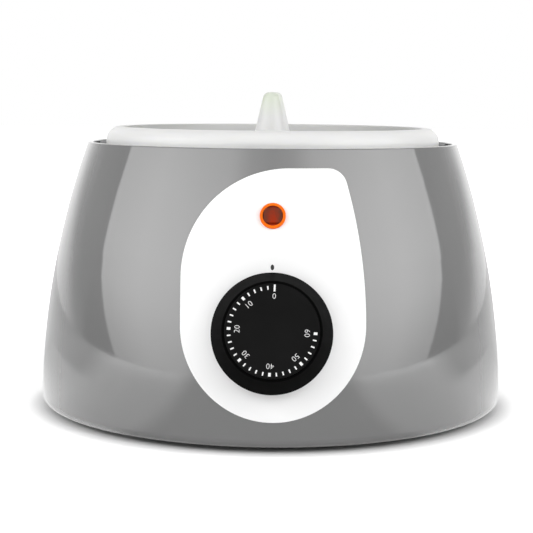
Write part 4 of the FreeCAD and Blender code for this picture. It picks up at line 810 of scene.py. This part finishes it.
class MELTER_OT_stage(Operator):
    """Set up the pale floor, the even light, the light tent and the camera"""

    bl_idname = "melter.stage"
    bl_label = "Studio"

    def execute(self, context):
        stage = context.scene.melter_stage
        scene = context.scene
        scene.view_settings.view_transform = "Standard"
        self.light_world(scene, stage)
        self.lay_floor(stage)
        self.raise_tent(stage)
        self.place_camera(scene, stage)
        return {"FINISHED"}

    def light_world(self, scene, stage):
        """Dim air, brighter overhead. The camera and gloss see it white."""
        world = bpy.data.worlds.new("studio_air")
        scene.world = world
        world.use_nodes = True
        nodes = Nodes(world.node_tree)
        background = world.node_tree.nodes["Background"]
        nodes.feed(background.inputs["Color"], WHITE)
        rise = nodes.node("ShaderNodeSeparateXYZ", None, {0: nodes.node("ShaderNodeTexCoord")},
                          output=2)
        air = rise.larger(0.0) * (stage.high_light - stage.low_light) + stage.low_light
        seen = nodes.camera_rays().larger(nodes.mirror_rays())
        nodes.feed(background.inputs["Strength"], seen + (1 - seen) * air)

    def lay_floor(self, stage):
        paper = Finish("floor_paper", {"Base Color": stage.floor, "Roughness": 0.9,
                                       "Specular IOR Level": 0.0})
        away = paper.node("ShaderNodeVectorMath", {"operation": "LENGTH"}, {0: paper.place()},
                          output="Value")
        open_floor = paper.mixed(away.stretched(*SEEN_FADE), SEEN_NEAR, SEEN_FAR)
        # Painted shadow: under the casing the camera sees the floor darker.
        seen = paper.mixed(away.stretched(*GAP_SHADE_EDGE), SEEN_GAP_SHADE, open_floor)
        turn = paper.bearing()
        ahead = 1 - turn.stretched(*MIRROR_AHEAD)
        behind = turn.stretched(*MIRROR_BEHIND)
        beside = turn.stretched(*MIRROR_BESIDE)
        far_beside = away.stretched(stage.mirror_near, stage.mirror_far) * beside
        plain = far_beside.larger(behind).larger(ahead)
        mirror = paper.mixed(plain, MIRROR_BRIGHT, MIRROR_PLAIN)
        mirrored = paper.mixed(paper.mirror_rays(), stage.floor, mirror)
        paper.surface("Base Color", paper.mixed(paper.camera_rays(), mirrored, seen))
        drawn = bmesh.new()
        drawn.faces.new([drawn.verts.new((x * FLOOR_REACH, y * FLOOR_REACH, 0))
                         for x, y in ((-1, -1), (1, -1), (1, 1), (-1, 1))])
        stage_piece("floor", drawn, paper.material)

    def raise_tent(self, stage):
        """A glowing upright wall all round. It shows only as light and in reflections."""
        glow = bpy.data.materials.new("light_tent")
        glow.use_nodes = True
        glow.node_tree.nodes.clear()
        nodes = Nodes(glow.node_tree)
        _, _, rise = nodes.axes()
        turn = nodes.bearing()
        low = 1 - rise.stretched(*TENT_LOW)
        high = rise.stretched(*TENT_HIGH)
        bend = low * low * TENT_LOW_BEND + high * high * TENT_HIGH_BEND + 1
        by_bearing = nodes.node("ShaderNodeValToRGB", {"stops": TENT_ROUND},
                                {0: turn * bend / math.pi})
        by_height = nodes.node("ShaderNodeValToRGB", {"stops": TENT_RISE},
                               {0: rise / stage.tent_height})
        upward = by_height.larger(turn.stretched(*REAR_SIDE) * REAR_LEVEL)
        closed = turn.stretched(*DOOR_SIDE).larger(rise.stretched(*DOOR_TOP))
        shade = nodes.mixed(by_bearing * upward * closed, BLACK, WHITE)
        light = nodes.node("ShaderNodeEmission", None, {"Color": shade, "Strength": stage.tent})
        nodes.node("ShaderNodeOutputMaterial", None, {"Surface": light}, output=None)
        drawn = bmesh.new()
        posts = []
        for step in range(TENT_STEPS + 1):
            turned = math.tau * step / TENT_STEPS
            x = stage.tent_radius * math.sin(turned)
            y = -stage.tent_radius * math.cos(turned)
            posts.append([drawn.verts.new((x, y, z)) for z in (0.0, stage.tent_height)])
        for before, after in zip(posts, posts[1:]):
            drawn.faces.new((before[0], after[0], after[1], before[1]))
        tent = stage_piece("light_tent", drawn, glow)
        tent.visible_camera = False
        tent.visible_shadow = False
        tent.visible_transmission = False

    def place_camera(self, scene, stage):
        data = bpy.data.cameras.new("camera")
        data.lens = stage.focal
        data.sensor_width = SENSOR_WIDTH
        data.clip_start = NEAREST_SEEN
        camera = bpy.data.objects.new("camera", data)
        scene.collection.objects.link(camera)
        aim = (Matrix.Rotation(math.pi / 2 - stage.pitch, 4, "X")
               @ Matrix.Rotation(stage.roll, 4, "Z"))
        camera.matrix_world = Matrix.Translation(stage.eye) @ aim
        scene.camera = camera


PIECES = (
    MELTER_OT_casing,
    MELTER_OT_label,
    MELTER_OT_dial,
    MELTER_OT_pilot_lamp,
    MELTER_OT_lid,
    MELTER_OT_bowl,
    MELTER_OT_heater,
    MELTER_OT_thermostat,
    MELTER_OT_wiring,
    MELTER_OT_base,
    MELTER_OT_gland,
    MELTER_OT_stage,
)
SETTINGS = {
    "melter_shell": MelterShell,
    "melter_dial": MelterDial,
    "melter_lamp": MelterLamp,
    "melter_stage": MelterStage,
}


class MELTER_PT_panel(Panel):
    """Lists the melter's pieces and their settings"""

    bl_idname = "MELTER_PT_panel"
    bl_label = "Chocolate melter"
    bl_space_type = "VIEW_3D"
    bl_region_type = "UI"
    bl_category = "Melter"

    def draw(self, context):
        for operator in PIECES:
            self.layout.operator(operator.bl_idname)
        for name in SETTINGS:
            group = getattr(context.scene, name)
            box = self.layout.box()
            for field in group.__annotations__:
                box.prop(group, field)


def register():
    for name, group in SETTINGS.items():
        bpy.utils.register_class(group)
        setattr(bpy.types.Scene, name, PointerProperty(type=group))
    for operator in PIECES:
        bpy.utils.register_class(operator)
    bpy.utils.register_class(MELTER_PT_panel)


def unregister():
    bpy.utils.unregister_class(MELTER_PT_panel)
    for operator in reversed(PIECES):
        bpy.utils.unregister_class(operator)
    for name, group in SETTINGS.items():
        delattr(bpy.types.Scene, name)
        bpy.utils.unregister_class(group)


def main():
    register()
    for operator in PIECES:
        group, name = operator.bl_idname.split(".")
        getattr(getattr(bpy.ops, group), name)()


if __name__ == "__main__":
    main()
